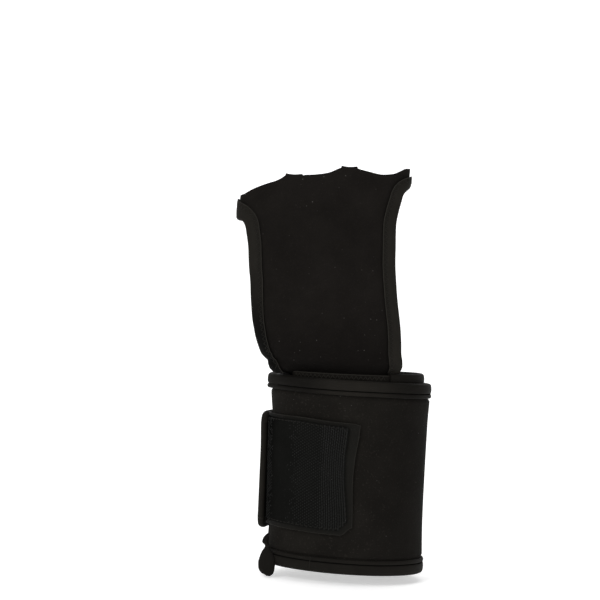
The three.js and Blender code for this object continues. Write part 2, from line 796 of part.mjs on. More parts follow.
// Web strips: each joins one end run on the front to its partner on the back.
function webStrip(frontRun, backRun, crest) {
  const find = (run) => run.map((p) => flat.findIndex(
    (q) => Math.hypot(q.round - p.round, q.z - p.z) < 1e-6,
  ));
  const front = find(frontRun).reverse();
  const back = find(backRun);
  if (panelPlaces[front[0]].x > panelPlaces[front[4]].x) front.reverse();
  if (panelPlaces[back[0]].x > panelPlaces[back[4]].x) back.reverse();
  const rows = [front];
  for (let k = 1; k < WEB_STRIP_ROWS; k += 1) {
    const angle = Math.PI * k / WEB_STRIP_ROWS;
    const row = [];
    for (let j = 0; j < 5; j += 1) {
      const f = panelPlaces[front[j]];
      const b = panelPlaces[back[j]];
      const t = (1 - Math.cos(angle)) / 2;
      const lip = WEB_LIP * ((j - 2) / 2) ** 2;
      const top = CUFF_TOP + (crest + lip) * PALM_LENGTH;
      const foot = k <= WEB_STRIP_ROWS / 2 ? f.z : b.z;
      row.push(panelPlaces.length);
      panelPlaces.push(new THREE.Vector3(
        f.x + (b.x - f.x) * t,
        f.y + (b.y - f.y) * t,
        foot + (top - foot) * Math.sin(angle) ** 0.7,
      ));
    }
    rows.push(row);
  }
  rows.push(back);
  for (let k = 0; k < rows.length - 1; k += 1) {
    for (let j = 0; j < 4; j += 1) {
      const [a, b] = [rows[k][j], rows[k][j + 1]];
      const [c, d] = [rows[k + 1][j], rows[k + 1][j + 1]];
      panelTriangles.push([a, b, d], [a, d, c]);
    }
  }
}
webStrip(ringFrontEnd, ringBackEnd, WEB_CREST.ring);
webStrip(indexFrontEnd, indexBackEnd, WEB_CREST.index);

// Join the two sides of the cut down the middle of the back.
function panelBody() {
  const joined = new Map();
  const places = [];
  const renumber = panelPlaces.map((p) => {
    const label = [p.x, p.y, p.z].map((c) => Math.round(c * 1e3)).join("_");
    if (!joined.has(label)) {
      joined.set(label, places.length);
      places.push(p);
    }
    return joined.get(label);
  });
  const triangles = panelTriangles.map((t) => t.map((i) => renumber[i]));
  const normals = places.map(() => new THREE.Vector3());
  for (const [i, j, k] of triangles) {
    const ab = places[j].clone().sub(places[i]);
    const ac = places[k].clone().sub(places[i]);
    const area = ab.cross(ac);
    for (const v of [i, j, k]) normals[v].add(area);
  }
  const ends = [ringBackEnd, ringFrontEnd, indexFrontEnd, indexBackEnd].flat();
  flat.forEach((p, i) => {
    if (ends.some((q) => Math.hypot(q.round - p.round, q.z - p.z) < 1e-6)) return;
    normals[renumber[i]].copy(palmNormal(p.round, p.z));
  });
  return sheetBody(places.map((place, i) => ({
    place,
    normal: normals[i].normalize(),
    wall: PANEL_WALL,
  })), triangles);
}

// Wrist wrap columns, with short steps round the strap's corners.
const stripTurns = [];
for (let turn = STRIP_START_DEG; turn <= STRIP_END_DEG - 16; turn += STRIP_STEP_DEG) {
  stripTurns.push(turn);
}
const endPerDegree = stripPlace(STRIP_END_DEG, 40).distanceTo(stripPlace(STRIP_END_DEG - 1, 40));
const TAPE_SPLIT_DEG = STRIP_END_DEG - 16;
for (const share of [1.0, 0.67, 0.38, 0.18, 0.06, 0]) {
  stripTurns.push(STRIP_END_DEG - share * STRAP_CORNER / endPerDegree);
}
const toEnd = (turn) => (STRIP_END_DEG - turn) * endPerDegree;
function cornerCut(turn) {
  const e = toEnd(turn);
  if (e >= STRAP_CORNER) return 0;
  return STRAP_CORNER - Math.sqrt(STRAP_CORNER ** 2 - (STRAP_CORNER - Math.max(0, e)) ** 2);
}
const stripFoot = (turn) => read(STRIP_COURSE, "turn", turn, "foot") * STRIP_HEIGHT
  + cornerCut(turn);
const stripHead = (turn) => read(STRIP_COURSE, "turn", turn, "head") * STRIP_HEIGHT
  - cornerCut(turn);

function stripWall(fromEdge) {
  const t = smooth((fromEdge - WRAP_TAPE_LEG - 0.9) / 2.4);
  return STRIP_EDGE_WALL + (STRIP_WALL - STRIP_EDGE_WALL) * t;
}

// Heights of the mesh rows up one column of the strip.
function stripLevels(turn) {
  const depths = [0, WRAP_TAPE_LEG + 0.9, WRAP_TAPE_LEG + 3.3];
  const foot = stripFoot(turn);
  const head = stripHead(turn);
  const low = foot + depths[2];
  const high = head - depths[2];
  return [
    ...depths.map((d) => foot + d),
    low + (high - low) * 0.42,
    low + (high - low) * 0.86,
    ...depths.slice().reverse().map((d) => head - d),
  ];
}

function wrapBody() {
  const vertices = [];
  const triangles = [];
  stripTurns.forEach((turn, i) => {
    const foot = stripFoot(turn);
    const head = stripHead(turn);
    const levels = stripLevels(turn);
    const rows = levels.length;
    const fromStart = (turn - STRIP_START_DEG) * 0.5;
    levels.forEach((z) => {
      const fromEdge = Math.min(z - foot, head - z, toEnd(turn), WRAP_TAPE_LEG + fromStart);
      vertices.push({
        place: stripPlace(turn, z),
        normal: stripNormal(turn, z),
        wall: stripWall(fromEdge),
      });
    });
    if (i === 0) return;
    for (let k = 0; k < rows - 1; k += 1) {
      const a = (i - 1) * rows + k;
      const b = i * rows + k;
      triangles.push([a, b, b + 1], [a, b + 1, a + 1]);
    }
  });
  return sheetBody(vertices, triangles);
}

// The strip's edges as paths with the strip on their left.
const footPath = stripTurns.filter((t) => t <= TAPE_SPLIT_DEG).map((t) => [t, stripFoot(t)]);
const headPath = stripTurns
  .filter((t) => t >= WRAP_TAPE_START_DEG && t <= TAPE_SPLIT_DEG)
  .map((t) => [t, stripHead(t)])
  .reverse();
const seamDegrees = SEAM_CLEAR / endPerDegree;
const endTurns = [
  TAPE_SPLIT_DEG + seamDegrees,
  ...stripTurns.filter((t) => t > TAPE_SPLIT_DEG + 1),
];
const endPath = [
  ...endTurns.map((t) => [t, stripFoot(t)]),
  ...stripLevels(STRIP_END_DEG).slice(1, -1).map((z) => [STRIP_END_DEG, z]),
  ...endTurns.slice().reverse().map((t) => [t, stripHead(t)]),
];

// Closing tab and the ribbed patch on it: both lie on the outer layer of the cuff.
function tabPoint(reach, z, off) {
  const turn = TAB_START_DEG + reach * TAB_REACH_DEG;
  const under = layerOf(turn + 360) + off;
  const place = (t, h) => cuffPoint(t, h, under);
  return { place: place(turn, z), normal: normalOf(place, turn, z, 0.5, 0.3) };
}
const tabZ = (rise) => TAB_FOOT + rise * TAB_HEIGHT;

function tabSheet(from, to, headInset, footInset, freeInset, off, wall, columns, rows) {
  const vertices = [];
  const triangles = [];
  for (let i = 0; i <= columns; i += 1) {
    const t = i / columns;
    for (let k = 0; k <= rows; k += 1) {
      const along = from + (to - from) * t;
      const foot = tabZ(read(TAB_SOLE, "reach", along, "rise")) + footInset;
      const head = tabZ(read(TAB_HEAD, "reach", along, "rise")) - headInset;
      const z = foot + (head - foot) * k / rows;
      const free = read(TAB_FREE_END, "rise", (z - TAB_FOOT) / TAB_HEIGHT, "reach") - freeInset;
      const reach = along * (1 - t) + (from + (free - from) * t) * t;
      const { place, normal } = tabPoint(reach, z, off);
      vertices.push({ place, normal, wall });
      if (i === 0 || k === rows) continue;
      const a = (i - 1) * (rows + 1) + k;
      const b = i * (rows + 1) + k;
      triangles.push([a, b, b + 1], [a, b + 1, a + 1]);
    }
  }
  return sheetBody(vertices, triangles);
}
const tabOff = STRIP_WALL / 2 + TAB_CLEAR + TAB_WALL / 2;
const patchOff = tabOff + TAB_WALL / 2 + SEAM_CLEAR + TAB_PATCH_WALL / 2;
const tabPerShare = tabPoint(0.9, 40, tabOff).place.distanceTo(tabPoint(0.91, 40, tabOff).place)
  * 100;

// Turned tape end: an oval-section body hanging off the lower thumb-side corner.
function tailBody() {
  const sides = 10;
  const position = [];
  const index = [];
  const root = cuffPoint(-66, 0, LAYER_STEP + STRIP_EDGE_WALL / 2 + TAPE_BUILD);
  const wide = new THREE.Vector3(0.89, -0.45, 0);
  const thick = new THREE.Vector3(-0.45, -0.89, 0);
  TAIL_FORM.forEach((row) => {
    const centre = new THREE.Vector3(root.x, root.y, 0)
      .addScaledVector(wide, (row.across - 0.10) * TAIL_WIDTH)
      .addScaledVector(thick, LAYER_CLEAR + row.thick * TAIL_WALL / 2 + row.off * TAIL_WIDTH);
    centre.z = 8.2 - (1 - row.rise) * TAIL_HEIGHT;
    for (let s = 0; s < sides; s += 1) {
      const angle = 2 * Math.PI * s / sides;
      const p = centre.clone()
        .addScaledVector(wide, Math.cos(angle) * row.wide * TAIL_WIDTH / 2)
        .addScaledVector(thick, Math.sin(angle) * row.thick * TAIL_WALL / 2);
      position.push(p.x, p.y, p.z);
    }
  });
  const rings = TAIL_FORM.length;
  for (let r = 0; r < rings - 1; r += 1) {
    for (let s = 0; s < sides; s += 1) {
      const a = r * sides + s;
      const b = r * sides + (s + 1) % sides;
      index.push(a, b, b + sides, a, b + sides, a + sides);
    }
  }
  for (let s = 1; s < sides - 1; s += 1) {
    index.push(0, s + 1, s);
    const last = (rings - 1) * sides;
    index.push(last, last + s, last + s + 1);
  }
  const body = bodyFrom(position, index);
  return signedVolume(body) < 0 ? turnedInsideOut(body) : body;
}

const LEG_STOPS = [1, 0];
const LONG_LEG_STOPS = [1, 0.5, 0];
const wrapTape = (path, stops = LEG_STOPS) => tapeAlong(
  stripPlace,
  stripNormal,
  path,
  STRIP_EDGE_WALL,
  TAPE_CLEAR,
  WRAP_TAPE_LEG,
  stops,
);
const suede = { color: 0x1d1b19, roughness: 0.95, metalness: 0 };
const tape = { color: 0x24221f, roughness: 0.72, metalness: 0 };
const neoprene = { color: 0x211f1d, roughness: 0.85, metalness: 0 };
const hookTape = { color: 0x191918, roughness: 0.8, metalness: 0 };

const pieces = [
  ["palm_panel", panelBody(), suede],
  [
    "palm_binding",
    tapeAlong(
      palmPlace,
      palmNormal,
      palmTapePath,
      PANEL_WALL,
      PALM_TAPE_CLEAR,
      PALM_TAPE_LEG,
      LONG_LEG_STOPS,
      palmTapeLevel,
    ),
    tape,
  ],
  ["wrist_wrap", wrapBody(), neoprene],
  [
    "wrap_top_binding",
    wrapTape(headPath),
    tape,
  ],
  [
    "wrap_bottom_binding",
    wrapTape(footPath),
    tape,
  ],
  [
    "strap_end_binding",
    wrapTape(endPath, LONG_LEG_STOPS),
    tape,
  ],
  ["closure_tab", tabSheet(0.0, 1.0, 0, 0, 0, tabOff, TAB_WALL, 14, 5), hookTape],
  [
    "tab_patch",
    tabSheet(
      0.12,
      1.0,
      TAB_PATCH_BORDER * 0.7,
      TAB_PATCH_BORDER,
      TAB_PATCH_BORDER / tabPerShare,
      patchOff,
      TAB_PATCH_WALL,
      12,
      5,
    ),
    hookTape,
  ],
  ["binding_tail", tailBody(), tape],
];

const glove = new THREE.Group();
glove.name = "weightlifting_glove";
for (const [name, geometry, look] of pieces) {
  const mesh = new THREE.Mesh(geometry, new THREE.MeshStandardMaterial(look));
  mesh.name = name;
  glove.add(mesh);
}

export default glove;
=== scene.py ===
import math

import bpy
import numpy as np
from mathutils import Matrix, Vector
from mathutils.geometry import delaunay_2d_cdt


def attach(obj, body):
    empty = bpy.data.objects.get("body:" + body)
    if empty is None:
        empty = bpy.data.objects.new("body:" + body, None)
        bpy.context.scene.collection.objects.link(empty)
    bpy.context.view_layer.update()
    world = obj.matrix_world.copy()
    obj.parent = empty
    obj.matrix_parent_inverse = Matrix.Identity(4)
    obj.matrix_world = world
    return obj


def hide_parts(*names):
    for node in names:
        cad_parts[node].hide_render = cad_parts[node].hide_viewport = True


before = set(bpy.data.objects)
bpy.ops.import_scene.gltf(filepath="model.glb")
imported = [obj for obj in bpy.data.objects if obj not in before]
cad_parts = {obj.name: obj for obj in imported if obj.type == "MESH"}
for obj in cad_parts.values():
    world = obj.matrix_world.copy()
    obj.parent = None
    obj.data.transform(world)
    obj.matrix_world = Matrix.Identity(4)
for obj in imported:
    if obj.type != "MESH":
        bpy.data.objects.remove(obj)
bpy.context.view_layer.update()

# Wrist wrap. One long strip of 3 mm foam laminate with a brushed knit face, wound nearly
# twice round its bore from the inside outwards. It thins where the binding tape nips its
# edges, and narrows to a strap on its last quarter turn.
MM = 0.001
STRIP_HEIGHT = 84.2
STRIP_WALL = 3.0
STRIP_EDGE_WALL = 1.5
STRIP_START = -56
STRIP_END = 632
CORE_HALF_WIDTH = 31.9
CORE_HALF_DEPTH = 23.8
STRAP_CORNER = 6
STRAP_END_SPAN = 16
LENGTH_LEVEL = 40.0
CUFF_WAVE = 0.30
CUFF_RIPPLE = 0.16
PUCKER_DEPTH = 0.20
PUCKER_INSET = 8.0
PUCKER_SPREAD = 3.2
WALL_EASE = 1.5
TAPE_WALL = 0.65
TAPE_CLEAR = 0.25
TAPE_BUILD = TAPE_CLEAR + TAPE_WALL
WRAP_TAPE_LEG = 5.6
LAYER_CLEAR = 0.3
SEAM_CLEAR = 0.35
TAB_WALL = 1.0
LAYER_STEP = STRIP_EDGE_WALL + 2 * TAPE_BUILD + LAYER_CLEAR
STRAP_STEP = LAYER_STEP + TAB_WALL + 2 * SEAM_CLEAR
NEOPRENE = (0.0102, 0.0092, 0.0078)
LINT = (0.09, 0.088, 0.082)

# rise, half width, half depth and sideways shift, as shares of the strip height and core
CUFF_FORM = [
    (0.00, 0.986, 0.985, 0.008),
    (0.12, 0.962, 0.970, 0.012),
    (0.30, 0.950, 0.962, 0.012),
    (0.55, 0.950, 0.965, 0.008),
    (0.80, 0.966, 0.975, 0.004),
    (0.95, 0.995, 0.995, -0.004),
    (1.06, 1.000, 1.000, -0.006),
]
# turn in degrees, foot and head of the strip as shares of its height
STRIP_COURSE = [
    (-56, 0.053, 1.053),
    (90, 0.053, 1.053),
    (270, 0.024, 1.024),
    (360, 0.012, 1.011),
    (450, 0.000, 1.000),
    (500, 0.006, 0.994),
    (540, 0.060, 0.945),
    (580, 0.175, 0.850),
    (606, 0.204, 0.816),
    (632, 0.190, 0.808),
]
FIRST_LIFT = (232, 282)
SECOND_LIFT = (590, 640)


def read(table, column, at):
    """A column of a table at places along its first column, without overshoot."""
    rows = np.array(table, dtype=float)
    x, y = rows[:, 0], rows[:, column]
    rate = np.diff(y) / np.diff(x)
    slope = np.zeros(len(x))
    steady = rate[:-1] * rate[1:] > 0
    slope[1:-1][steady] = 2 * (rate[:-1] * rate[1:])[steady] / (rate[:-1] + rate[1:])[steady]
    at = np.clip(at, x[0], x[-1])
    i = np.clip(np.searchsorted(x, at, side="left") - 1, 0, len(x) - 2)
    span = x[i + 1] - x[i]
    t = (at - x[i]) / span
    s = 1 - t
    low = (1 + 2 * t) * s * s * y[i] + t * s * s * span * slope[i]
    return low + (1 + 2 * s) * t * t * y[i + 1] - s * t * t * span * slope[i + 1]


def smooth(t):
    """0 below 0, 1 above 1, and an even ease between."""
    c = np.clip(t, 0.0, 1.0)
    return c * c * (3 - 2 * c)


def layer_of(turn):
    """How far the strip's middle stands out from the innermost layer, at a turn."""
    first = smooth((turn - FIRST_LIFT[0]) / (FIRST_LIFT[1] - FIRST_LIFT[0]))
    second = smooth((turn - SECOND_LIFT[0]) / (SECOND_LIFT[1] - SECOND_LIFT[0]))
    return LAYER_STEP * first + STRAP_STEP * second


def cuff_point(turn, z, out):
    """A place on the cuff. All the layers share the slow waves of the worn cloth."""
    angle = np.radians(turn)
    wave = CUFF_WAVE * np.sin(3 * angle + z / 15) * np.sin(z / 24 + 0.8)
    wave += CUFF_RIPPLE * np.sin(5 * angle - z / 8 + 1.3)
    rise = z / STRIP_HEIGHT
    half_width = read(CUFF_FORM, 1, rise) * CORE_HALF_WIDTH + out + wave
    half_depth = read(CUFF_FORM, 2, rise) * CORE_HALF_DEPTH + out + wave
    shift = read(CUFF_FORM, 3, rise) * CORE_HALF_WIDTH
    x = shift + half_width * np.sin(angle)
    y = -half_depth * np.cos(angle)
    return np.stack(np.broadcast_arrays(x, y, z), axis=-1)


def unit(v):
    return v / np.linalg.norm(v, axis=-1, keepdims=True)


def running_length(points):
    """Length along a line of points, from its first."""
    return np.concatenate([[0], np.cumsum(np.linalg.norm(np.diff(points, axis=0), axis=1))])


def normal_of(place, u, v, du, dv):
    """The outward direction of a surface, from its places a little to each side."""
    along_u = place(u + du, v) - place(u - du, v)
    along_v = place(u, v + dv) - place(u, v - dv)
    return unit(np.cross(along_u, along_v))


def strip_place(turn, z):
    return cuff_point(turn, z, layer_of(turn))


def strip_normal(turn, z):
    return normal_of(strip_place, turn, z, 0.5, 0.3)


def new_piece(name, points, faces, layout, crease=50):
    """A mesh piece from points in millimetres. Its layout becomes the UV map, in metres."""
    mesh = bpy.data.meshes.new(name)
    mesh.from_pydata((np.asarray(points) * MM).tolist(), [], faces)
    corners = np.empty(len(mesh.loops), dtype=np.int32)
    mesh.loops.foreach_get("vertex_index", corners)
    uv = mesh.uv_layers.new(name="cloth")
    uv.data.foreach_set("uv", (np.asarray(layout)[corners] * MM).ravel())
    mesh.shade_smooth()
    mesh.set_sharp_from_angle(angle=math.radians(crease))
    piece = bpy.data.objects.new(name, mesh)
    bpy.context.collection.objects.link(piece)
    return piece


def cloth(name, places, normals, walls, faces, layout):
    """A closed sheet with its wall on both sides of its middle surface."""
    half = normals * np.asarray(walls)[:, None] / 2
    count = len(places)
    sides = [tuple(f) for f in faces] + [tuple(i + count for i in reversed(f)) for f in faces]
    edges = {(f[i], f[(i + 1) % len(f)]) for f in faces for i in range(len(f))}
    rim = sorted(e for e in edges if (e[1], e[0]) not in edges)
    sides += [(b, a, a + count, b + count) for a, b in rim]
    points = np.concatenate([places + half, places - half])
    return new_piece(name, points, sides, np.concatenate([layout, layout]))


def grid_faces(columns, rows):
    faces = []
    for i in range(columns - 1):
        for k in range(rows - 1):
            a, b = i * rows + k, (i + 1) * rows + k
            faces.append((a, b, b + 1, a + 1))
    return faces


last_degree = strip_place(np.array([STRIP_END, STRIP_END - 1.0]), np.full(2, LENGTH_LEVEL))
END_MM_PER_DEGREE = float(np.linalg.norm(last_degree[0] - last_degree[1]))
TAPE_SPLIT = STRIP_END - STRAP_END_SPAN
strip_turns = np.concatenate([
    np.arange(STRIP_START, TAPE_SPLIT, 2.0),
    STRIP_END - (np.linspace(1, 0, 26) ** 1.5) * STRAP_END_SPAN,
])


def corner_cut(turn):
    """How far the strap end's rounded corners cut in from its edges."""
    left = np.clip(STRAP_CORNER - (STRIP_END - turn) * END_MM_PER_DEGREE, 0, STRAP_CORNER)
    return STRAP_CORNER - np.sqrt(STRAP_CORNER ** 2 - left ** 2)


def strip_foot(turn):
    return read(STRIP_COURSE, 1, turn) * STRIP_HEIGHT + corner_cut(turn)


def strip_head(turn):
    return read(STRIP_COURSE, 2, turn) * STRIP_HEIGHT - corner_cut(turn)


def strip_length(turn):
    """Length along the strip from its start, in millimetres."""
    marks = np.arange(STRIP_START, STRIP_END + 1, 1.0)
    run = running_length(strip_place(marks, np.full(len(marks), LENGTH_LEVEL)))
    return np.interp(turn, marks, run)


edge_rows = np.array([0, 1.5, 3.0, 4.4, 5.2, 5.5, 5.8, 6.1, 6.5, 7.0, 8.0])
middle_rows = np.linspace(0, 1, 24)[1:-1]
foot, head = strip_foot(strip_turns), strip_head(strip_turns)
low, high = foot + edge_rows[-1], head - edge_rows[-1]
levels = np.concatenate([
    foot[:, None] + edge_rows,
    low[:, None] + (high - low)[:, None] * middle_rows,
    head[:, None] - edge_rows[::-1],
], axis=1)
turns = np.repeat(strip_turns[:, None], levels.shape[1], axis=1)
lengths = strip_length(turns)
from_edge = np.minimum(levels - foot[:, None], head[:, None] - levels)
nipped = np.minimum(from_edge, (STRIP_END - turns) * END_MM_PER_DEGREE)
nipped = np.minimum(nipped, WRAP_TAPE_LEG + (turns - STRIP_START) * 0.5)
full = smooth((nipped - WRAP_TAPE_LEG - 0.15) / WALL_EASE)
wall = STRIP_EDGE_WALL + (STRIP_WALL - STRIP_EDGE_WALL) * full
pucker = np.exp(-((from_edge - PUCKER_INSET) / PUCKER_SPREAD) ** 2)
gather = 0.5 + 0.5 * np.sin(lengths * 0.95 + 1.5 * np.sin(lengths * 0.13))
wall -= PUCKER_DEPTH * pucker * gather
wrap = cloth(
    "wrap_strip",
    strip_place(turns.ravel(), levels.ravel()),
    strip_normal(turns.ravel(), levels.ravel()),
    wall.ravel(),
    grid_faces(*levels.shape),
    np.stack([lengths.ravel(), levels.ravel()], axis=1),
)


class Wire:
    """A shader socket that adds Math nodes when it is used in an expression."""

    def __init__(self, finish, socket):
        self.finish = finish
        self.socket = socket

    def maths(self, operation, *values):
        return self.finish.node("ShaderNodeMath", {"operation": operation}, list(values))

    def __add__(self, other):
        return self.maths("ADD", self, other)

    __radd__ = __add__

    def __sub__(self, other):
        return self.maths("SUBTRACT", self, other)

    def __rsub__(self, other):
        return self.maths("SUBTRACT", other, self)

    def __mul__(self, other):
        return self.maths("MULTIPLY", self, other)

    __rmul__ = __mul__

    def above(self, low, high):
        """0 below low, 1 above high, smooth between."""
        return self.finish.node(
            "ShaderNodeMapRange",
            {"interpolation_type": "SMOOTHSTEP", "clamp": True},
            {"Value": self, "From Min": low, "From Max": high, "To Min": 0.0, "To Max": 1.0},
            "Result",
        )

    def sine(self):
        return self.maths("SINE", self)


class Finish:
    """A material of one finish, built from nodes."""

    def __init__(self, name):
        self.material = bpy.data.materials.new(name)
        self.material.use_nodes = True
        self.tree = self.material.node_tree
        self.shader = self.tree.nodes["Principled BSDF"]

    def node(self, kind, settings, inputs, output=0):
        made = self.tree.nodes.new(kind)
        for key, value in settings.items():
            setattr(made, key, value)
        pairs = enumerate(inputs) if isinstance(inputs, list) else inputs.items()
        for key, value in pairs:
            self.put(made.inputs[key], value)
        return Wire(self, made.outputs[output])

    def put(self, socket, value):
        if isinstance(value, Wire):
            self.tree.links.new(value.socket, socket)
        else:
            socket.default_value = value

    def set(self, **values):
        for key, value in values.items():
            self.put(self.shader.inputs[key.replace("_", " ")], value)

    def colour(self, low, high, share):
        """A mix of two colours, given as red, green and blue."""
        mix = self.tree.nodes.new("ShaderNodeMix")
        mix.data_type = "RGBA"
        for socket, value in zip([s for s in mix.inputs if s.type == "RGBA"], (low, high)):
            self.put(socket, value if isinstance(value, Wire) else (*value, 1.0))
        self.put(mix.inputs[0], share)
        return Wire(self, [s for s in mix.outputs if s.type == "RGBA"][0])

    def place(self):
        return self.node("ShaderNodeTexCoord", {}, {}, "Object")

    def axis(self, at, letter):
        """One coordinate of a place."""
        return self.node("ShaderNodeSeparateXYZ", {}, {"Vector": at}, letter)

    def noise(self, at, size, detail=2.0, rough=0.5):
        """Noise whose lumps are about size millimetres across."""
        return self.node(
            "ShaderNodeTexNoise",
            {"noise_dimensions": "3D"},
            {"Vector": at, "Scale": 1 / (size * MM), "Detail": detail, "Roughness": rough},
        )

    def specks(self, at, size):
        """Distance to the nearest of scattered points about size millimetres apart."""
        return self.node(
            "ShaderNodeTexVoronoi", {}, {"Vector": at, "Scale": 1 / (size * MM)}, "Distance"
        )

    def cell(self, at, size):
        """A random number for each cell of the same scatter."""
        found = self.node(
            "ShaderNodeTexVoronoi", {}, {"Vector": at, "Scale": 1 / (size * MM)}, "Color"
        )
        return self.node("ShaderNodeSeparateColor", {}, {"Color": found}, 0)

    def relief(self, height, depth, strength=1.0):
        """Bump from a height of 0 to 1 that stands depth millimetres high."""
        return self.node(
            "ShaderNodeBump",
            {},
            {"Height": height, "Distance": depth * MM, "Strength": strength},
            "Normal",
        )


def toned(colour, share):
    """A colour made darker or lighter."""
    return [c * share for c in colour]


def knit_face():
    """Brushed knit face of the foam laminate: a fine even pile with small bright flecks, and
    painted shade on its right side.
    """
    f = Finish("brushed_knit")
    at = f.place()
    pile = f.noise(at, 0.55, 3.0, 0.6)
    fleck = f.noise(at, 0.9, 1.0, 0.5).above(0.60, 0.72)
    patch = f.noise(at, 16, 2.0, 0.5).above(0.25, 0.75)
    lint = (1 - f.specks(at, 2.6).above(0.05, 0.10)) * f.cell(at, 2.6).above(0.80, 0.95)
    base = f.colour(toned(NEOPRENE, 0.80), toned(NEOPRENE, 1.12), patch)
    base = f.colour(base, toned(NEOPRENE, 2.05), fleck * 0.55)
    # Painted shade: the knit is darkened towards its right side, where less lamp light falls.
    painted_shade_right = f.axis(at, "X").above(4 * MM, 26 * MM)
    base = f.colour(base, toned(NEOPRENE, 0.55), painted_shade_right * 0.5)
    f.set(
        Base_Color=f.colour(base, LINT, lint * 0.5),
        Roughness=0.82 + pile * 0.15,
        Sheen_Weight=0.01,
        Sheen_Roughness=0.5,
        Specular_IOR_Level=0.03,
        Normal=f.relief(pile + fleck * 0.4, 0.16, 0.6),
    )
    return f.material


wrap.data.materials.append(knit_face())
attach(wrap, "root")
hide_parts("wrist_wrap")

# Binding of the wrap. A smooth knitted tape folded over the strip's edges and sewn down by
# a lockstitch in a groove near its inner edge. One length runs along the top, one along
# the bottom and one round the strap's end.
WRAP_TAPE_START = 32
ROLL_PLUMP = 0.8
THUMB_SIDE_SWELL = 1.3
THUMB_SIDE_TURN = 274
THUMB_SIDE_SPAN = 17
WALE_PITCH = 0.42
TAPE = (0.0128, 0.0115, 0.0095)
# Painted shade on a tape: the share of the tone that is left in full shade, how much x and z
# count in a place's value, and the values at which the tape is fully shaded and unshaded.
# The top tape gets painted shade at its left and right, where it turns back away from the lamps.
HEAD_TAPE_SHADE = [(0.48, 1, 0, -21, -7), (0.52, -1, 0, -28, -6)]
# share of the leg from the edge, and how far the face stands above the flat tape
WRAP_TAPE_FACE = [
    (1.00, -0.30),
    (0.99, -0.06),
    (0.965, 0.16),
    (0.90, 0.30),
    (0.82, 0.34),
    (0.75, 0.26),
    (0.70, 0.04),
    (0.665, -0.22),
    (0.645, -0.30),
    (0.625, -0.22),
    (0.59, 0.00),
    (0.54, 0.14),
    (0.46, 0.22),
    (0.34, 0.25),
    (0.18, 0.20),
    (0.06, 0.08),
]
ROLL_STEPS = 9
ROLL_STAND = 0.30


def facing_out(points, faces):
    """The faces of a closed shape, turned round if they point inwards."""
    corners = points[np.array([f[:3] for f in faces])]
    size_in = np.einsum("ij,ij->i", corners[:, 0], np.cross(corners[:, 1], corners[:, 2])).sum()
    return [tuple(reversed(f)) for f in faces] if size_in < 0 else faces


def set_back(place, normal, path, distance, level):
    """Layout places a distance into the sheet from its edge, and the edge's directions.

    The sheet lies to the left of its path. Where level is 1 the tape ends level, not
    square to the edge."""
    before = path[np.maximum(0, np.arange(len(path)) - 1)]
    after = path[np.minimum(len(path) - 1, np.arange(len(path)) + 1)]
    run = unit(place(after[:, 0], after[:, 1]) - place(before[:, 0], before[:, 1]))
    u, v = path[:, 0], path[:, 1]
    inward = unit(np.cross(normal(u, v), run))
    h = 0.05
    du = (place(u + h, v) - place(u - h, v)) / (2 * h)
    dv = (place(u, v + h) - place(u, v - h)) / (2 * h)
    uu, uv, vv = (du * du).sum(1), (du * dv).sum(1), (dv * dv).sum(1)
    iu, iv = (inward * du).sum(1), (inward * dv).sum(1)
    det = uu * vv - uv * uv
    square_u, square_v = (iu * vv - iv * uv) / det, (iv * uu - iu * uv) / det
    level_u = np.sign(square_u) / np.sqrt(uu)
    return np.stack([
        u + distance * (square_u + (level_u - square_u) * level),
        v + distance * square_v * (1 - level),
    ], axis=1), run


def folded_tape(
    name, place, normal, path, wall, clear, leg, face, level=None, plump=0.0, swell=0.0,
):
    """A tape folded over a sheet's edge along a path in the sheet's layout.

    plump is how far the fold stands beyond a tight one, and swell how far the outer leg
    stands off the sheet."""
    path = np.asarray(path, dtype=float)
    level = np.zeros(len(path)) if level is None else level
    near, far = wall / 2 + clear, wall / 2 + clear + TAPE_WALL
    outer, inner = [], []
    for side in (1, -1):
        legs_out, legs_in = [], []
        for share, stand in face:
            back, run = set_back(place, normal, path, share * leg, level)
            base = place(back[:, 0], back[:, 1])
            up = normal(back[:, 0], back[:, 1])
            legs_out.append(base + side * (far + stand) * up + max(side, 0) * swell * up)
            legs_in.append(base + side * near * up)
        outer.append(legs_out)
        inner.append(legs_in)
    edge = place(path[:, 0], path[:, 1])
    up = normal(path[:, 0], path[:, 1])
    out = unit(np.cross(run, up))
    roll_out, roll_in = [], []
    for k in range(ROLL_STEPS):
        angle = math.pi * (0.5 - k / (ROLL_STEPS - 1))
        c, s = math.cos(angle), math.sin(angle)
        lift = far * s + swell * (1 + s) / 2
        reach = clear + TAPE_WALL + ROLL_STAND + plump
        roll_out.append(edge + out * reach * c + up * lift)
        roll_in.append(edge + out * clear * c + up * near * s)
    outer = outer[0] + roll_out + outer[1][::-1]
    inner = inner[0] + roll_in + inner[1][::-1]
    ring = np.stack(outer + inner[::-1], axis=1)
    count, size = ring.shape[:2]
    half = size // 2
    faces = []
    for r in range(count - 1):
        for k in range(size):
            a, b = r * size + k, r * size + (k + 1) % size
            faces.append((a, b, b + size, a + size))
    last = (count - 1) * size
    for k in range(half - 1):
        a, b, c, d = k, k + 1, size - 2 - k, size - 1 - k
        faces.append((a, d, c, b))
        faces.append((last + a, last + b, last + c, last + d))
    along = running_length(edge)
    across = np.cumsum(np.linalg.norm(np.diff(ring[0], axis=0, prepend=ring[0][:1]), axis=1))
    layout = np.stack(np.broadcast_arrays(along[:, None], across[None, :]), axis=-1)
    points = ring.reshape(-1, 3)
    return new_piece(name, points, facing_out(points, faces), layout.reshape(-1, 2), 40)


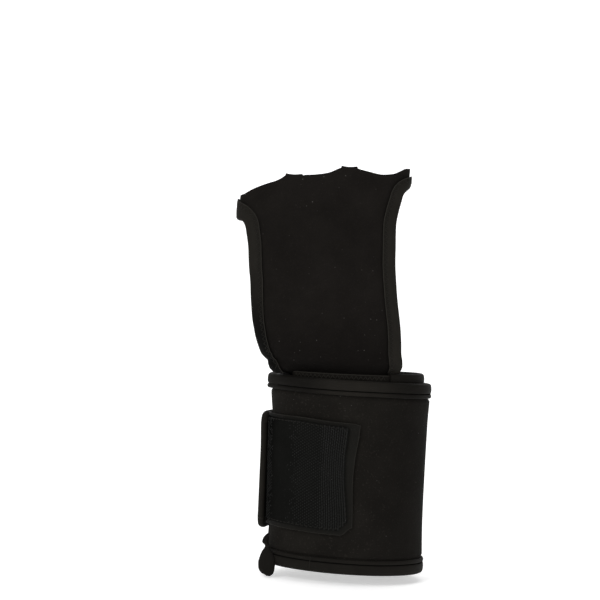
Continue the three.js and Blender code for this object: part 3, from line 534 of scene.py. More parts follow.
def knit_tape(name, tone, painted_shade=()):
    """Smooth binding tape: fine lengthwise wales, a little sheen, no pile, and painted shade in
    the places given.
    """
    f = Finish(name)
    at = f.place()
    across = f.axis(f.node("ShaderNodeUVMap", {"uv_map": "cloth"}, {}), "Y")
    wale = (across * (2 * math.pi / (WALE_PITCH * MM))).sine() * 0.5 + 0.5
    grain = f.noise(at, 0.5, 2.0, 0.6)
    patch = f.noise(at, 9, 2.0, 0.5)
    base = f.colour(toned(tone, 0.80), toned(tone, 1.25), patch)
    base = f.colour(base, toned(tone, 1.7), grain.above(0.62, 0.80) * 0.5)
    for left, by_x, by_z, shaded, unshaded in painted_shade:
        # Painted shade: the tone falls to the given share where the place's value is low.
        value = f.axis(at, "X") * by_x + f.axis(at, "Z") * by_z
        base = f.colour(toned(tone, left), base, value.above(shaded * MM, unshaded * MM))
    f.set(
        Base_Color=base,
        Roughness=0.60 + grain * 0.2,
        Sheen_Weight=0.01,
        Sheen_Roughness=0.4,
        Specular_IOR_Level=0.05,
        Normal=f.relief(wale * 0.5 + grain, 0.07, 0.6),
    )
    return f.material


tape_finish = knit_tape("binding_knit", TAPE)
head_finish = knit_tape("head_binding_knit", TAPE, HEAD_TAPE_SHADE)
# The bottom tape is a darker copy of the binding tape.
darker_foot_tape_finish = knit_tape("darker_bottom_binding_tape", toned(TAPE, 0.74))
foot_turns = strip_turns[strip_turns <= TAPE_SPLIT]
head_turns = foot_turns[foot_turns >= WRAP_TAPE_START][::-1]
end_turns = strip_turns[strip_turns >= TAPE_SPLIT + SEAM_CLEAR / END_MM_PER_DEGREE]
foot_path = np.stack([foot_turns, strip_foot(foot_turns)], axis=1)
head_path = np.stack([head_turns, strip_head(head_turns)], axis=1)
rows_up = np.linspace(strip_foot(STRIP_END), strip_head(STRIP_END), 40)[1:-1]
end_path = np.concatenate([
    np.stack([end_turns, strip_foot(end_turns)], axis=1),
    np.stack([np.full(len(rows_up), float(STRIP_END)), rows_up], axis=1),
    np.stack([end_turns[::-1], strip_head(end_turns[::-1])], axis=1),
])
end_roll = ROLL_PLUMP * (end_path[:, 0] > STRIP_END - 0.5)[:, None]
from_thumb_side = (head_path[:, :1] - THUMB_SIDE_TURN) / THUMB_SIDE_SPAN
head_swell = THUMB_SIDE_SWELL * np.exp(-from_thumb_side ** 2)
for tape_name, node, path, finish, plump, swell in (
    ("wrap_top_tape", "wrap_top_binding", head_path, head_finish, 0.0, head_swell),
    ("wrap_bottom_tape", "wrap_bottom_binding", foot_path, darker_foot_tape_finish, 0.0, 0.0),
    ("strap_end_tape", "strap_end_binding", end_path, tape_finish, end_roll, 0.0),
):
    tape = folded_tape(
        tape_name, strip_place, strip_normal, path,
        STRIP_EDGE_WALL, TAPE_CLEAR, WRAP_TAPE_LEG, WRAP_TAPE_FACE, plump=plump, swell=swell,
    )
    tape.data.materials.append(finish)
    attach(tape, "root")
    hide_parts(node)

# Thread of the wrap's binding: a lockstitch in the groove, and a cord laid along the groove,
# both near-black with painted shadow of the groove in their colour. The inner layer's bare top
# edge is overcast with a zigzag where it closes over the panel.
STITCH_PITCH = 2.6
STITCH_SHARE = 0.72
OVERCAST_PITCH = 1.05
THREAD_WIDTH = 0.30
THREAD_HEIGHT = 0.26
GROOVE = 0.645
TAPE_JOINT_TURN = 333.4
THREAD = (0.0145, 0.0135, 0.0114)
# Near-black thread: black thread with painted shadow in its colour, for the grooves and the
# tab's root.
PAINTED_SHADOW_THREAD = (0.0030, 0.0029, 0.0026)
EDGE_THREAD = (0.0215, 0.0200, 0.0170)


def new_tree(name, sizes):
    """A Geometry Nodes tree with a guide, named sizes and a finish as its inputs."""
    tree = bpy.data.node_groups.new(name, "GeometryNodeTree")
    tree.interface.new_socket("Guide", in_out="INPUT", socket_type="NodeSocketGeometry")
    for size in sizes:
        tree.interface.new_socket(size, in_out="INPUT", socket_type="NodeSocketFloat")
    tree.interface.new_socket("Finish", in_out="INPUT", socket_type="NodeSocketMaterial")
    tree.interface.new_socket("Made", in_out="OUTPUT", socket_type="NodeSocketGeometry")
    given = tree.nodes.new("NodeGroupInput")

    def add(kind, settings, inputs):
        made = tree.nodes.new(kind)
        for key, value in settings.items():
            setattr(made, key, value)
        for key, value in inputs.items():
            if isinstance(value, bpy.types.NodeSocket):
                tree.links.new(value, made.inputs[key])
            else:
                made.inputs[key].default_value = value
        return made

    def close(shape):
        """Ends the tree: real mesh, smooth, in the given finish."""
        real = add("GeometryNodeRealizeInstances", {}, {"Geometry": shape})
        even = add("GeometryNodeSetShadeSmooth", {}, {"Geometry": real.outputs[0]})
        done = add(
            "GeometryNodeSetMaterial", {},
            {"Geometry": even.outputs[0], "Material": given.outputs["Finish"]},
        )
        tree.links.new(done.outputs[0], tree.nodes.new("NodeGroupOutput").inputs[0])

    return tree, given.outputs, add, close


def bead_tree():
    """A bead on each guide point, laid along "along", facing "face", scaled by "stretch"."""
    tree, given, add, close = new_tree("laid_beads", ["Length", "Width", "Height"])
    names = {
        name: add(
            "GeometryNodeInputNamedAttribute", {"data_type": "FLOAT_VECTOR"}, {"Name": name}
        ).outputs["Attribute"]
        for name in ("along", "face", "stretch")
    }
    size = add("ShaderNodeCombineXYZ", {}, {
        "X": given["Length"], "Y": given["Width"], "Z": given["Height"],
    })
    ball = add("GeometryNodeMeshUVSphere", {}, {"Segments": 8, "Rings": 5, "Radius": 0.5})
    bead = add("GeometryNodeTransform", {}, {
        "Geometry": ball.outputs["Mesh"], "Scale": size.outputs[0],
    })
    laid = add("FunctionNodeAlignRotationToVector", {"axis": "X"}, {"Vector": names["along"]})
    turned = add(
        "FunctionNodeAlignRotationToVector", {"axis": "Z", "pivot_axis": "X"},
        {"Rotation": laid.outputs[0], "Vector": names["face"]},
    )
    beads = add("GeometryNodeInstanceOnPoints", {}, {
        "Points": given["Guide"], "Instance": bead.outputs[0],
        "Rotation": turned.outputs[0], "Scale": names["stretch"],
    })
    close(beads.outputs[0])
    return tree


def cord_tree():
    """A round cord along a guide line."""
    tree, given, add, close = new_tree("edge_cord", ["Radius"])
    line = add("GeometryNodeMeshToCurve", {}, {"Mesh": given["Guide"]})
    ring = add("GeometryNodeCurvePrimitiveCircle", {}, {
        "Resolution": 8, "Radius": given["Radius"],
    })
    cord = add("GeometryNodeCurveToMesh", {}, {
        "Curve": line.outputs[0], "Profile Curve": ring.outputs["Curve"], "Fill Caps": True,
    })
    close(cord.outputs[0])
    return tree


def grow(name, tree, points, finish, sizes, edges=(), **vectors):
    """Runs a tree on guide points in millimetres and keeps the result as a plain mesh."""
    guide = bpy.data.meshes.new(name)
    guide.from_pydata((np.asarray(points) * MM).tolist(), list(edges), [])
    for key, values in vectors.items():
        column = guide.attributes.new(key, "FLOAT_VECTOR", "POINT")
        column.data.foreach_set("vector", np.asarray(values, dtype=np.float32).ravel())
    piece = bpy.data.objects.new(name, guide)
    bpy.context.collection.objects.link(piece)
    step = piece.modifiers.new("made", "NODES")
    step.node_group = tree
    known = {i.name: i.identifier for i in tree.interface.items_tree if i.in_out == "INPUT"}
    for key, value in sizes.items():
        step[known[key]] = value * MM
    step[known["Finish"]] = finish
    graph = bpy.context.evaluated_depsgraph_get()
    mesh = bpy.data.meshes.new_from_object(piece.evaluated_get(graph), depsgraph=graph)
    piece.modifiers.remove(step)
    piece.data = mesh
    for key in vectors:
        if key in mesh.attributes:
            mesh.attributes.remove(mesh.attributes[key])
    return piece


def at_lengths(run, line, marks):
    """Places on a line at marks along its run."""
    return np.stack([np.interp(marks, run, line[:, c]) for c in range(3)], axis=1)


def tape_rail(place, normal, path, wall, clear, leg, share, stand, level=None, side=1):
    """A line on a folded tape's face, with the run along the tape's edge and its normals."""
    path = np.asarray(path, dtype=float)
    level = np.zeros(len(path)) if level is None else level
    back, _ = set_back(place, normal, path, share * leg, level)
    up = side * normal(back[:, 0], back[:, 1])
    line = place(back[:, 0], back[:, 1]) + up * (wall / 2 + clear + TAPE_WALL + stand)
    return running_length(place(path[:, 0], path[:, 1])), line, up


def stitch_ends(rails, pitch):
    """Both ends and the face of each stitch: a zigzag between two rails, or a row on one."""
    run, first_line, up = rails[0]
    marks = np.arange(pitch, run[-1] - pitch, pitch)
    if len(rails) == 1:
        half = pitch * STITCH_SHARE / 2
        starts, stops = (at_lengths(run, first_line, marks + d) for d in (-half, half))
    else:
        a, b = (at_lengths(run, rail[1], marks) for rail in rails)
        odd = (np.arange(len(marks)) % 2 == 1)[:, None]
        points = np.where(odd, a, b)
        starts, stops = points[:-1], points[1:]
        marks = (marks[:-1] + marks[1:]) / 2
    return starts, stops, unit(at_lengths(run, up, marks))


def sew(name, stitches, thread):
    """One piece of thread laid as separate stitches."""
    starts, stops, face = (np.concatenate(parts) for parts in zip(*stitches))
    along = stops - starts
    size = np.linalg.norm(along, axis=1)
    stretch = np.stack([size + THREAD_WIDTH, np.ones(len(size)), np.ones(len(size))], axis=1)
    return grow(
        name, beads, (starts + stops) / 2, thread,
        {"Length": 1, "Width": THREAD_WIDTH, "Height": THREAD_HEIGHT},
        along=unit(along), face=face, stretch=stretch,
    )


def lay_cord(name, lines, finish, radius):
    """A piece of one or more cords, each along its own line."""
    starts = np.cumsum([0] + [len(line) for line in lines])
    joined = [
        (start + i, start + i + 1)
        for start, line in zip(starts, lines) for i in range(len(line) - 1)
    ]
    return grow(name, cords, np.concatenate(lines), finish, {"Radius": radius}, edges=joined)


def spun_thread(name, tone, gloss=0.07):
    """Twisted polyester thread, a little glossier than the cloth it lies on."""
    f = Finish(name)
    grain = f.noise(f.place(), 0.35, 2.0, 0.6)
    f.set(
        Base_Color=f.colour(toned(tone, 0.8), toned(tone, 1.3), grain),
        Roughness=0.55 + grain * 0.2,
        Specular_IOR_Level=gloss,
        Normal=f.relief(grain, 0.08, 0.6),
    )
    return f.material


beads = bead_tree()
cords = cord_tree()
thread_finish = spun_thread("black_thread", THREAD)
shadow_thread_finish = spun_thread("black_thread_painted_shadow", PAINTED_SHADOW_THREAD, 0.0)
edge_finish = spun_thread("edge_thread", EDGE_THREAD)


def wrap_rail(path, share, stand, side=1):
    """A line on one of the wrap's tapes, at a share of its leg from the edge."""
    return tape_rail(
        strip_place, strip_normal, path, STRIP_EDGE_WALL, TAPE_CLEAR, WRAP_TAPE_LEG,
        share, stand, side=side,
    )


groove_rails = [
    (path, side) for path in (head_path, foot_path, end_path) for side in (1, -1)
]
groove_stitches = sew("wrap_stitching", [
    stitch_ends([wrap_rail(path, GROOVE, -0.12, side)], STITCH_PITCH)
    for path, side in groove_rails
], shadow_thread_finish)
bare_turns = np.arange(-55.5, WRAP_TAPE_START - 1, 1.0)


def bare_rail(depth, proud):
    """A line on the outer face of the inner layer, a depth under its bare top edge."""
    z = strip_head(bare_turns) - depth
    up = strip_normal(bare_turns, z)
    line = strip_place(bare_turns, z) + up * (STRIP_EDGE_WALL / 2 + proud)
    return running_length(line), line, up


overcast = sew(
    "bare_edge_overcast",
    [stitch_ends([bare_rail(0.5, 0.05), bare_rail(2.1, 0.05)], OVERCAST_PITCH)], edge_finish,
)
bare_edge = lay_cord("wrap_bare_edge", [bare_rail(0.0, -0.12)[1]], edge_finish, 0.24)
# Painted shadow: a near-black cord laid in each groove stands in for the groove's shade.
groove_shadow_cord = lay_cord("groove_shadow_cord", [
    wrap_rail(path, GROOVE, -0.24, side)[1] for path, side in groove_rails
], shadow_thread_finish, 0.31)
joint_at = int(np.abs(foot_path[:, 0] - TAPE_JOINT_TURN).argmin())
tape_joint = lay_cord("bottom_tape_joint", [np.array([
    wrap_rail(foot_path, share, 0.18)[1][joint_at] for share in np.linspace(0.98, 0.02, 12)
])], thread_finish, 0.17)
wrap_threads = [groove_stitches, overcast, bare_edge, groove_shadow_cord, tape_joint]
for piece in wrap_threads:
    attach(piece, "root")

# Turned tape end. The bottom tape's free end is doubled back on itself at the lower left
# corner and hangs out there as a soft lobe, with a smaller pucker above it.
TAIL_TOP = 15.0
TAIL_HEIGHT = 19.4
TAIL_WIDTH = 8.6
TAIL_WALL = 3.0
TAIL_TURN = -66.0
TAIL_SIDES = 32
TAIL_SIDE_WIDTH = 0.6
TAIL_SHIFT = 0.04
# directions across the tail and out from the wrap
TAIL_ACROSS = (0.89, -0.45, 0.0)
TAIL_OUT = (-0.45, -0.89, 0.0)
# depth, place and width of the crease down the tail's face
TAIL_CREASE = (0.16, 0.25, 0.16)
# rise, half width, half thickness, sideways and outwards shift
TAIL_FORM = [
    (0.00, 0.26, 0.50, 0.03, 0.10),
    (0.058, 0.68, 0.90, -0.01, 0.09),
    (0.156, 0.94, 1.00, -0.06, 0.08),
    (0.299, 1.00, 1.00, -0.08, 0.05),
    (0.442, 0.86, 0.90, -0.08, 0.04),
    (0.559, 0.60, 0.70, -0.12, 0.04),
    (0.640, 0.34, 0.50, -0.14, 0.05),
    (0.690, 0.25, 0.50, -0.14, 0.04),
    (0.780, 0.36, 0.80, -0.24, 0.04),
    (0.880, 0.30, 0.70, -0.22, 0.03),
    (0.960, 0.16, 0.45, -0.16, 0.02),
    (1.00, 0.06, 0.20, -0.12, 0.00),
]


def tail():
    """The doubled tape end: an upright lobe with a waist and a pucker above it."""
    outermost = LAYER_STEP + STRIP_EDGE_WALL / 2 + TAPE_BUILD
    root = cuff_point(np.array(TAIL_TURN), np.array(0.0), outermost)
    wide, thick = np.array(TAIL_ACROSS), np.array(TAIL_OUT)
    crease_depth, crease_at, crease_width = TAIL_CREASE
    rises = np.sin(np.linspace(0, 1, 52) * math.pi / 2) ** 1.2
    points, layout = [], []
    for rise in rises:
        half_w, half_t, across, off = (float(read(TAIL_FORM, c, rise)) for c in (1, 2, 3, 4))
        centre = root + wide * (across + TAIL_SHIFT) * TAIL_WIDTH
        centre = centre + thick * (LAYER_CLEAR + half_t * TAIL_WALL / 2 + off * TAIL_WIDTH)
        for s in range(TAIL_SIDES):
            angle = 2 * math.pi * s / TAIL_SIDES
            from_crease = (math.cos(angle) - crease_at) / crease_width
            fold = 1 - crease_depth * math.exp(-from_crease ** 2)
            spot = centre + wide * math.cos(angle) * half_w * TAIL_WIDTH / 2
            spot = spot + thick * math.sin(angle) * half_t * TAIL_WALL / 2 * fold
            points.append((spot[0], spot[1], TAIL_TOP - (1 - rise) * TAIL_HEIGHT))
            layout.append((rise * TAIL_HEIGHT, s * TAIL_SIDE_WIDTH))
    faces = []
    for low in range(0, (len(rises) - 1) * TAIL_SIDES, TAIL_SIDES):
        for s in range(TAIL_SIDES):
            a, b = low + s, low + (s + 1) % TAIL_SIDES
            faces.append((a, b, b + TAIL_SIDES, a + TAIL_SIDES))
    faces.append(tuple(reversed(range(TAIL_SIDES))))
    faces.append(tuple((len(rises) - 1) * TAIL_SIDES + s for s in range(TAIL_SIDES)))
    points = np.array(points)
    return new_piece("tape_tail", points, facing_out(points - root, faces), np.array(layout), 60)


tape_tail = tail()
tape_tail.data.materials.append(knit_tape("folded_tape_end", toned(TAPE, 0.56)))
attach(tape_tail, "root")
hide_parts("binding_tail")
float(strip_length(STRIP_END)) * MM

# Closing tab. A stiff flat tape with hooks on its inner face, sewn under the strap's end
# and pressed on to the wrap. A ribbed tape covers most of its outer face.
TAB_PATCH_WALL = 0.6
TAB_REACH = 100
TAB_START = -94
TAB_HEIGHT = 49.4
TAB_FOOT = 17.6
TAB_CLEAR = 0.5
TAB_PATCH_BORDER = 2.0
PATCH_START = 0.16
TAB_ROOT_SEAM = 0.148
HOOK_TAPE = (0.0066, 0.0067, 0.0062)
HOOK_TAPE_EDGE = (0.0086, 0.0082, 0.0070)
# edges of the tab: reach and height for its head and sole, height and reach for its free end
TAB_HEAD = [
    (0.00, 1.046), (0.20, 1.040), (0.55, 1.036), (0.80, 1.012), (0.97, 1.000), (1.00, 0.988),
]
TAB_SOLE = [
    (0.00, 0.030), (0.20, 0.024), (0.55, 0.014), (0.80, 0.003), (0.92, 0.000), (1.00, 0.072),
]
TAB_FREE_END = [(0.00, 0.970), (0.12, 0.970), (0.48, 0.963), (0.66, 0.971), (1.00, 1.000)]


def tab_place(reach, z, off):
    """A place on the tab, from its reach past the strap and its height, and how far out."""
    turn = TAB_START + reach * TAB_REACH
    return cuff_point(turn, z, layer_of(turn + 360) + off)


def tab_normal(reach, z, off):
    return normal_of(lambda u, v: tab_place(u, v, off), reach, z, 0.005, 0.3)


def tab_layout(start, head_in, foot_in, free_in, t, k):
    """Reach and height of a share of the tab's outline, along t and up k."""
    foot = TAB_FOOT + read(TAB_SOLE, 1, start + (1 - start) * t) * TAB_HEIGHT + foot_in
    head = TAB_FOOT + read(TAB_HEAD, 1, start + (1 - start) * t) * TAB_HEIGHT - head_in
    z = foot + (head - foot) * k
    up = (z - TAB_FOOT) / TAB_HEIGHT
    free = read(TAB_FREE_END, 1, up) - free_in * (1 + 1.3 * smooth(up))
    along = start + (1 - start) * t
    return along * (1 - t) + (start + (free - start) * t) * t, z


def tab_sheet(name, start, insets, off, wall, columns, rows):
    t, k = np.meshgrid(np.linspace(0, 1, columns), np.linspace(0, 1, rows), indexing="ij")
    reach, z = tab_layout(start, *insets, t.ravel(), k.ravel())
    return cloth(
        name,
        tab_place(reach, z, off),
        tab_normal(reach, z, off),
        np.full(reach.shape, wall),
        grid_faces(columns, rows),
        np.stack([reach * TAB_REACH * 0.5, z], axis=1),
    )


tab_off = STRIP_WALL / 2 + TAB_CLEAR + TAB_WALL / 2
patch_off = tab_off + TAB_WALL / 2 + SEAM_CLEAR + TAB_PATCH_WALL / 2
hundredth = tab_place(np.array([0.90, 0.91]), np.full(2, LENGTH_LEVEL), tab_off)
TAB_MM_PER_SHARE = float(np.linalg.norm(hundredth[0] - hundredth[1])) * 100
patch_insets = (TAB_PATCH_BORDER * 0.7, TAB_PATCH_BORDER, TAB_PATCH_BORDER / TAB_MM_PER_SHARE)
tab = tab_sheet("hook_tab", 0.0, (0, 0, 0), tab_off, TAB_WALL, 90, 60)
patch = tab_sheet(
    "ribbed_patch", PATCH_START, patch_insets, patch_off, TAB_PATCH_WALL, 84, 56
)


def woven_tab(name, tone, gloss=0.05):
    """Woven back of the hook tape: dense, with painted shadow that darkens it beside the strap's
    rolled end.
    """
    f = Finish(name)
    at = f.place()
    grain = f.noise(at, 0.6, 2.0, 0.6)
    patch_tone = f.noise(at, 12, 2.0, 0.5)
    base = f.colour(toned(tone, 0.8), toned(tone, 1.25), patch_tone)
    base = f.colour(base, toned(tone, 1.8), grain.above(0.60, 0.78) * 0.6)
    # Painted shadow: the tape is darkened at its left, beside the strap's rolled end.
    clear_of_painted_shadow = f.axis(at, "X").above(-39 * MM, -31 * MM)
    f.set(
        Base_Color=f.colour(toned(tone, 0.2), base, clear_of_painted_shadow),
        Roughness=0.58 + grain * 0.25,
        Specular_IOR_Level=gloss,
        Normal=f.relief(grain, 0.12, 0.7),
    )
    return f.material


for piece, node, finish in (
    (tab, "closure_tab", woven_tab("hook_tape_edge", HOOK_TAPE_EDGE)),
    (patch, "tab_patch", woven_tab("hook_tape_weave", HOOK_TAPE, 0.0)),
):
    piece.data.materials.append(finish)
    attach(piece, "root")
    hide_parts(node)

# Ribs of the tab's outer tape: knots in upright columns that run together into ribs near
# the free end and lie pressed flat nearer the strap. A cord edges the tab, and a line of
# stitches holds the patch.
RIB_PITCH = 1.1
KNOT_PITCH = 1.25
KNOTS_HEIGHT = TAB_HEIGHT - 5.0
COLUMNS_END = 0.955
PATCH_END = 0.97
PRESSED_FROM = 0.30
KNOTS_FROM = 0.45
RIBS_FROM = 0.72
# length, width and height of a knot, and of one that is drawn out into a rib
KNOT_SIZE = (0.70, 0.58, 0.34)
RIB_SIZE = (1.60, 0.70, 0.46)
TAB_STITCH_PITCH = 2.3
KNOT_SEED = 7
RIB = (0.0072, 0.0074, 0.0067)
rib_finish = spun_thread("rib_yarn", RIB, 0.13)
columns = np.arange(PATCH_START + 0.02, COLUMNS_END, RIB_PITCH / TAB_MM_PER_SHARE)
spans = (columns - PATCH_START) / (PATCH_END - PATCH_START)
knot_rows = np.arange(0.6, KNOTS_HEIGHT - 0.5, KNOT_PITCH) / KNOTS_HEIGHT
t, k = np.meshgrid(spans, knot_rows, indexing="ij")
staggered = np.where(np.arange(len(spans)) % 2 == 1, 0.5, 0.0)[:, None]
k = k + staggered * (knot_rows[1] - knot_rows[0])
t, k = t.ravel(), np.clip(k.ravel(), 0.012, 0.988)
reach, z = tab_layout(PATCH_START, *patch_insets, t, k)
chance = np.random.default_rng(KNOT_SEED).random(len(reach))
by_strap = 0.9 * smooth((PRESSED_FROM - reach) / 0.05)
by_end = smooth((reach - KNOTS_FROM) / 0.14)
kept = chance < np.where(reach < PRESSED_FROM, by_strap, by_end)
reach, z = reach[kept], z[kept]
ribbed = smooth((reach - RIBS_FROM) / 0.05)
stand = patch_off + TAB_PATCH_WALL / 2
face = tab_normal(reach, z, stand)
above = tab_place(reach, z + 0.3, stand)
rib_points = tab_place(reach, z, stand)
rib_sizes = np.array(KNOT_SIZE) + (np.array(RIB_SIZE) - KNOT_SIZE) * ribbed[:, None]
ribs = grow(
    "tab_ribs", beads, rib_points, rib_finish, {"Length": 1, "Width": 1, "Height": 1},
    along=unit(above - rib_points), face=face, stretch=rib_sizes,
)
edge_t = np.concatenate([np.linspace(0.06, 1, 60), np.ones(40), np.linspace(1, 0.06, 60)])
edge_k = np.concatenate([np.ones(60), np.linspace(1, 0, 42)[1:-1], np.zeros(60)])
reach, z = tab_layout(0.0, 0, 0, 0, edge_t, edge_k)
tab_rim = tab_place(reach, z, tab_off + TAB_WALL / 2 - 0.12)
rim_cord = lay_cord("tab_rim", [tab_rim], thread_finish, 0.20)
seam_in = [inset + 0.7 for inset in patch_insets[:2]]
reach, z = tab_layout(PATCH_START, *seam_in, patch_insets[2] + 0.008, edge_t, edge_k)
seam = tab_place(reach, z, stand + 0.05)
seam_rail = running_length(seam), seam, tab_normal(reach, z, stand)
tab_thread = sew("tab_stitching", [stitch_ends([seam_rail], TAB_STITCH_PITCH)], thread_finish)
# The tab's root seam is a near-black cord: a seam, with painted shadow beside the strap's rolled
# end in its colour.
up_root = np.linspace(0.02, 0.98, 40)
reach, z = tab_layout(TAB_ROOT_SEAM, 0, 0, 0, np.zeros(40), up_root)
root_seam = lay_cord(
    "tab_root_seam", [tab_place(reach, z, tab_off + TAB_WALL / 2)], shadow_thread_finish, 0.34,
)
for piece in (ribs, rim_cord, tab_thread, root_seam):
    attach(piece, "root")

# Grip panel. One sheet of matte suede microfibre, cut with a loop at each upper corner, two
# narrow webs between them and a band across the back. Its foot is tucked inside the wrap.
PANEL_WALL = 1.6
PANEL_TUCK = 8.6
STRIP_RISE = 4.5
CUFF_TOP = STRIP_HEIGHT + STRIP_RISE
THUMB_SIDE_DROP = 4.2
THUMB_SIDE_MOUTH = 87.3
PALM_LENGTH = 94.3
SLEEVE_HALF_WIDTH = 37.1
SLEEVE_HALF_DEPTH = 11.2
SLEEVE_ACROSS = 17.1
SLEEVE_FORWARD = 5.7
SHEET_GIRTH = 180
PANEL_FIELD_STEP = 1.7
PANEL_FIELD_ROWS = (-20, 75)
PANEL_FIELD_COLUMNS = (-60, 61)
PANEL_FOOT_STEPS = 50
PANEL_EDGE_STEP = 1.3
HOLLOW_DEPTH = 0.28
RIPPLE_DEPTH = 0.18
SUEDE = (0.0088, 0.0077, 0.0068)
SUEDE_LINT = (0.070, 0.067, 0.062)
SUEDE_SHADE_BELOW = 88
SUEDE_UNSHADED_ABOVE = 122
PANEL_INSET = STRIP_WALL / 2 + LAYER_CLEAR + PANEL_WALL / 2 + 0.2
PANEL_LEAVES = CUFF_TOP + TAPE_BUILD + LAYER_CLEAR
# rise, half width, half depth, across, forward, squareness of the section
PALM_FORM = [
    (0.052, 1.030, 2.14, 0.080, 0.000, 2.0),
    (0.085, 1.130, 2.20, 0.160, 0.000, 2.0),
    (0.188, 1.175, 2.12, 0.410, 0.000, 2.1),
    (0.418, 1.119, 1.68, 0.820, 0.530, 2.3),
    (0.591, 1.051, 1.29, 0.965, 0.880, 2.6),
    (0.686, 1.013, 1.09, 0.995, 0.965, 2.8),
    (0.750, 1.000, 1.01, 1.000, 1.000, 2.8),
    (0.860, 1.003, 1.00, 0.965, 1.000, 2.8),
    (0.950, 1.008, 0.99, 0.935, 1.000, 2.8),
    (1.050, 1.010, 0.98, 0.925, 1.000, 2.8),
]
# Edges in rows of kind, place and rise. "out" is a share of the half width on the front,
# and "girth" a share of the way round from the middle of the front.
RIGHT_EDGE = [
    ("out", 0.690, -0.088), ("out", 0.695, -0.020), ("out", 0.700, 0.013),
    ("out", 0.642, 0.028), ("out", 0.581, 0.052), ("out", 0.552, 0.085),
    ("out", 0.598, 0.168), ("out", 0.667, 0.281), ("out", 0.730, 0.396),
    ("out", 0.781, 0.509), ("out", 0.837, 0.620), ("out", 0.866, 0.700),
    ("out", 0.887, 0.765), ("out", 0.909, 0.830), ("out", 0.937, 0.884),
    ("girth", 0.241, 0.918), ("girth", 0.262, 0.922), ("girth", 0.290, 0.908),
    ("girth", 0.335, 0.878), ("girth", 0.385, 0.840), ("girth", 0.440, 0.802),
    ("girth", 0.500, 0.773),
]
LEFT_EDGE = [
    ("girth", -0.500, 0.773), ("girth", -0.440, 0.752), ("girth", -0.380, 0.735),
    ("girth", -0.320, 0.729), ("girth", -0.270, 0.728), ("girth", -0.240, 0.728),
    ("out", -0.940, 0.720), ("out", -0.888, 0.692), ("out", -0.857, 0.653),
    ("out", -0.818, 0.590), ("out", -0.792, 0.475), ("out", -0.785, 0.418),
    ("out", -0.808, 0.303), ("out", -0.827, 0.247), ("out", -0.842, 0.190),
    ("out", -0.867, 0.134), ("out", -0.885, 0.103), ("out", -0.894, 0.080),
    ("out", -0.892, 0.052), ("out", -0.892, 0.018), ("out", -0.905, 0.003),
    ("out", -0.935, -0.013), ("out", -0.960, -0.088),
]
BACK_MIDDLE_RIGHT = [
    ("girth", 0.500, 0.918), ("girth", 0.480, 0.926), ("girth", 0.467, 0.934),
    ("girth", 0.462, 0.944),
]
RING_RUN = [
    ("girth", 0.426, 0.948), ("girth", 0.419, 0.940), ("girth", 0.400, 0.936),
    ("girth", 0.360, 0.946), ("girth", 0.310, 0.968), ("girth", 0.275, 0.990),
    ("girth", 0.250, 1.001), ("out", 0.960, 0.996), ("out", 0.900, 0.983),
    ("out", 0.830, 0.970), ("out", 0.719, 0.962), ("out", 0.647, 0.961),
    ("out", 0.573, 0.966), ("out", 0.500, 0.972), ("out", 0.426, 0.978),
    ("out", 0.392, 0.981), ("out", 0.372, 0.984),
]
MIDDLE_RUN = [
    ("out", 0.176, 0.984), ("out", 0.160, 0.981), ("out", 0.134, 0.977),
    ("out", 0.061, 0.962), ("out", -0.013, 0.953), ("out", -0.086, 0.948),
    ("out", -0.158, 0.944), ("out", -0.233, 0.942), ("out", -0.270, 0.940),
    ("out", -0.286, 0.936),
]
INDEX_RUN = [
    ("out", -0.488, 0.936), ("out", -0.504, 0.930), ("out", -0.530, 0.922),
    ("out", -0.598, 0.907), ("out", -0.671, 0.897), ("out", -0.743, 0.886),
    ("out", -0.818, 0.873), ("out", -0.890, 0.858), ("out", -0.955, 0.841),
    ("girth", -0.245, 0.834), ("girth", -0.275, 0.838), ("girth", -0.320, 0.852),
    ("girth", -0.370, 0.868), ("girth", -0.398, 0.884), ("girth", -0.406, 0.894),
]
BACK_MIDDLE_LEFT = [
    ("girth", -0.446, 0.904), ("girth", -0.453, 0.899), ("girth", -0.475, 0.906),
    ("girth", -0.500, 0.918),
]
WEB_CREST_RING = 0.978
WEB_CREST_INDEX = 0.930
WEB_LIP = 0.010
PALM_TAPE_CLEAR_OF_WRAP = 1.8
WEB_COLUMNS = 12
WEB_ROWS = 30
WEB_LAYOUT_SHIFT = 300
MERGE_STEPS_PER_MM = 500

# z, half width, half depth, middle across, middle forward, squareness
PALM_SECTIONS = [
    (CUFF_TOP - PANEL_TUCK - 4, CORE_HALF_WIDTH * 0.985 - PANEL_INSET,
     CORE_HALF_DEPTH * 0.985 - PANEL_INSET, 0, 0, 2),
    (PANEL_LEAVES, CORE_HALF_WIDTH - PANEL_INSET, CORE_HALF_DEPTH - PANEL_INSET, 0, 0, 2),
]
for rise, wide, deep, across, forward, square in PALM_FORM:
    PALM_SECTIONS.append((
        CUFF_TOP + rise * PALM_LENGTH, wide * SLEEVE_HALF_WIDTH, deep * SLEEVE_HALF_DEPTH,
        -across * SLEEVE_ACROSS, -forward * SLEEVE_FORWARD, square,
    ))


def quarter_at(z):
    """A quarter of the section at each height, as points with the run along them."""
    a, b, x, y, n = (read(PALM_SECTIONS, c, z)[:, None] for c in range(1, 6))
    angle = np.linspace(0, math.pi / 2, 49)[None, :]
    s, c = np.abs(np.sin(angle)), np.abs(np.cos(angle))
    k = (s ** n + c ** n) ** (-1 / n)
    w, d = k * a * s, k * b * c
    run = np.concatenate([
        np.zeros((len(z), 1)), np.cumsum(np.hypot(np.diff(w), np.diff(d)), axis=1)
    ], axis=1)
    return x[:, 0], y[:, 0], a[:, 0], w, d, run


def between(key, at, *columns):
    """Each row's columns where that row's key reaches its own value."""
    i = np.clip((key < at[:, None]).sum(axis=1) - 1, 0, key.shape[1] - 2)
    rows = np.arange(len(at))
    t = np.clip((at - key[rows, i]) / (key[rows, i + 1] - key[rows, i]), 0, 1)
    return [c[rows, i] + (c[rows, i + 1] - c[rows, i]) * t for c in columns]


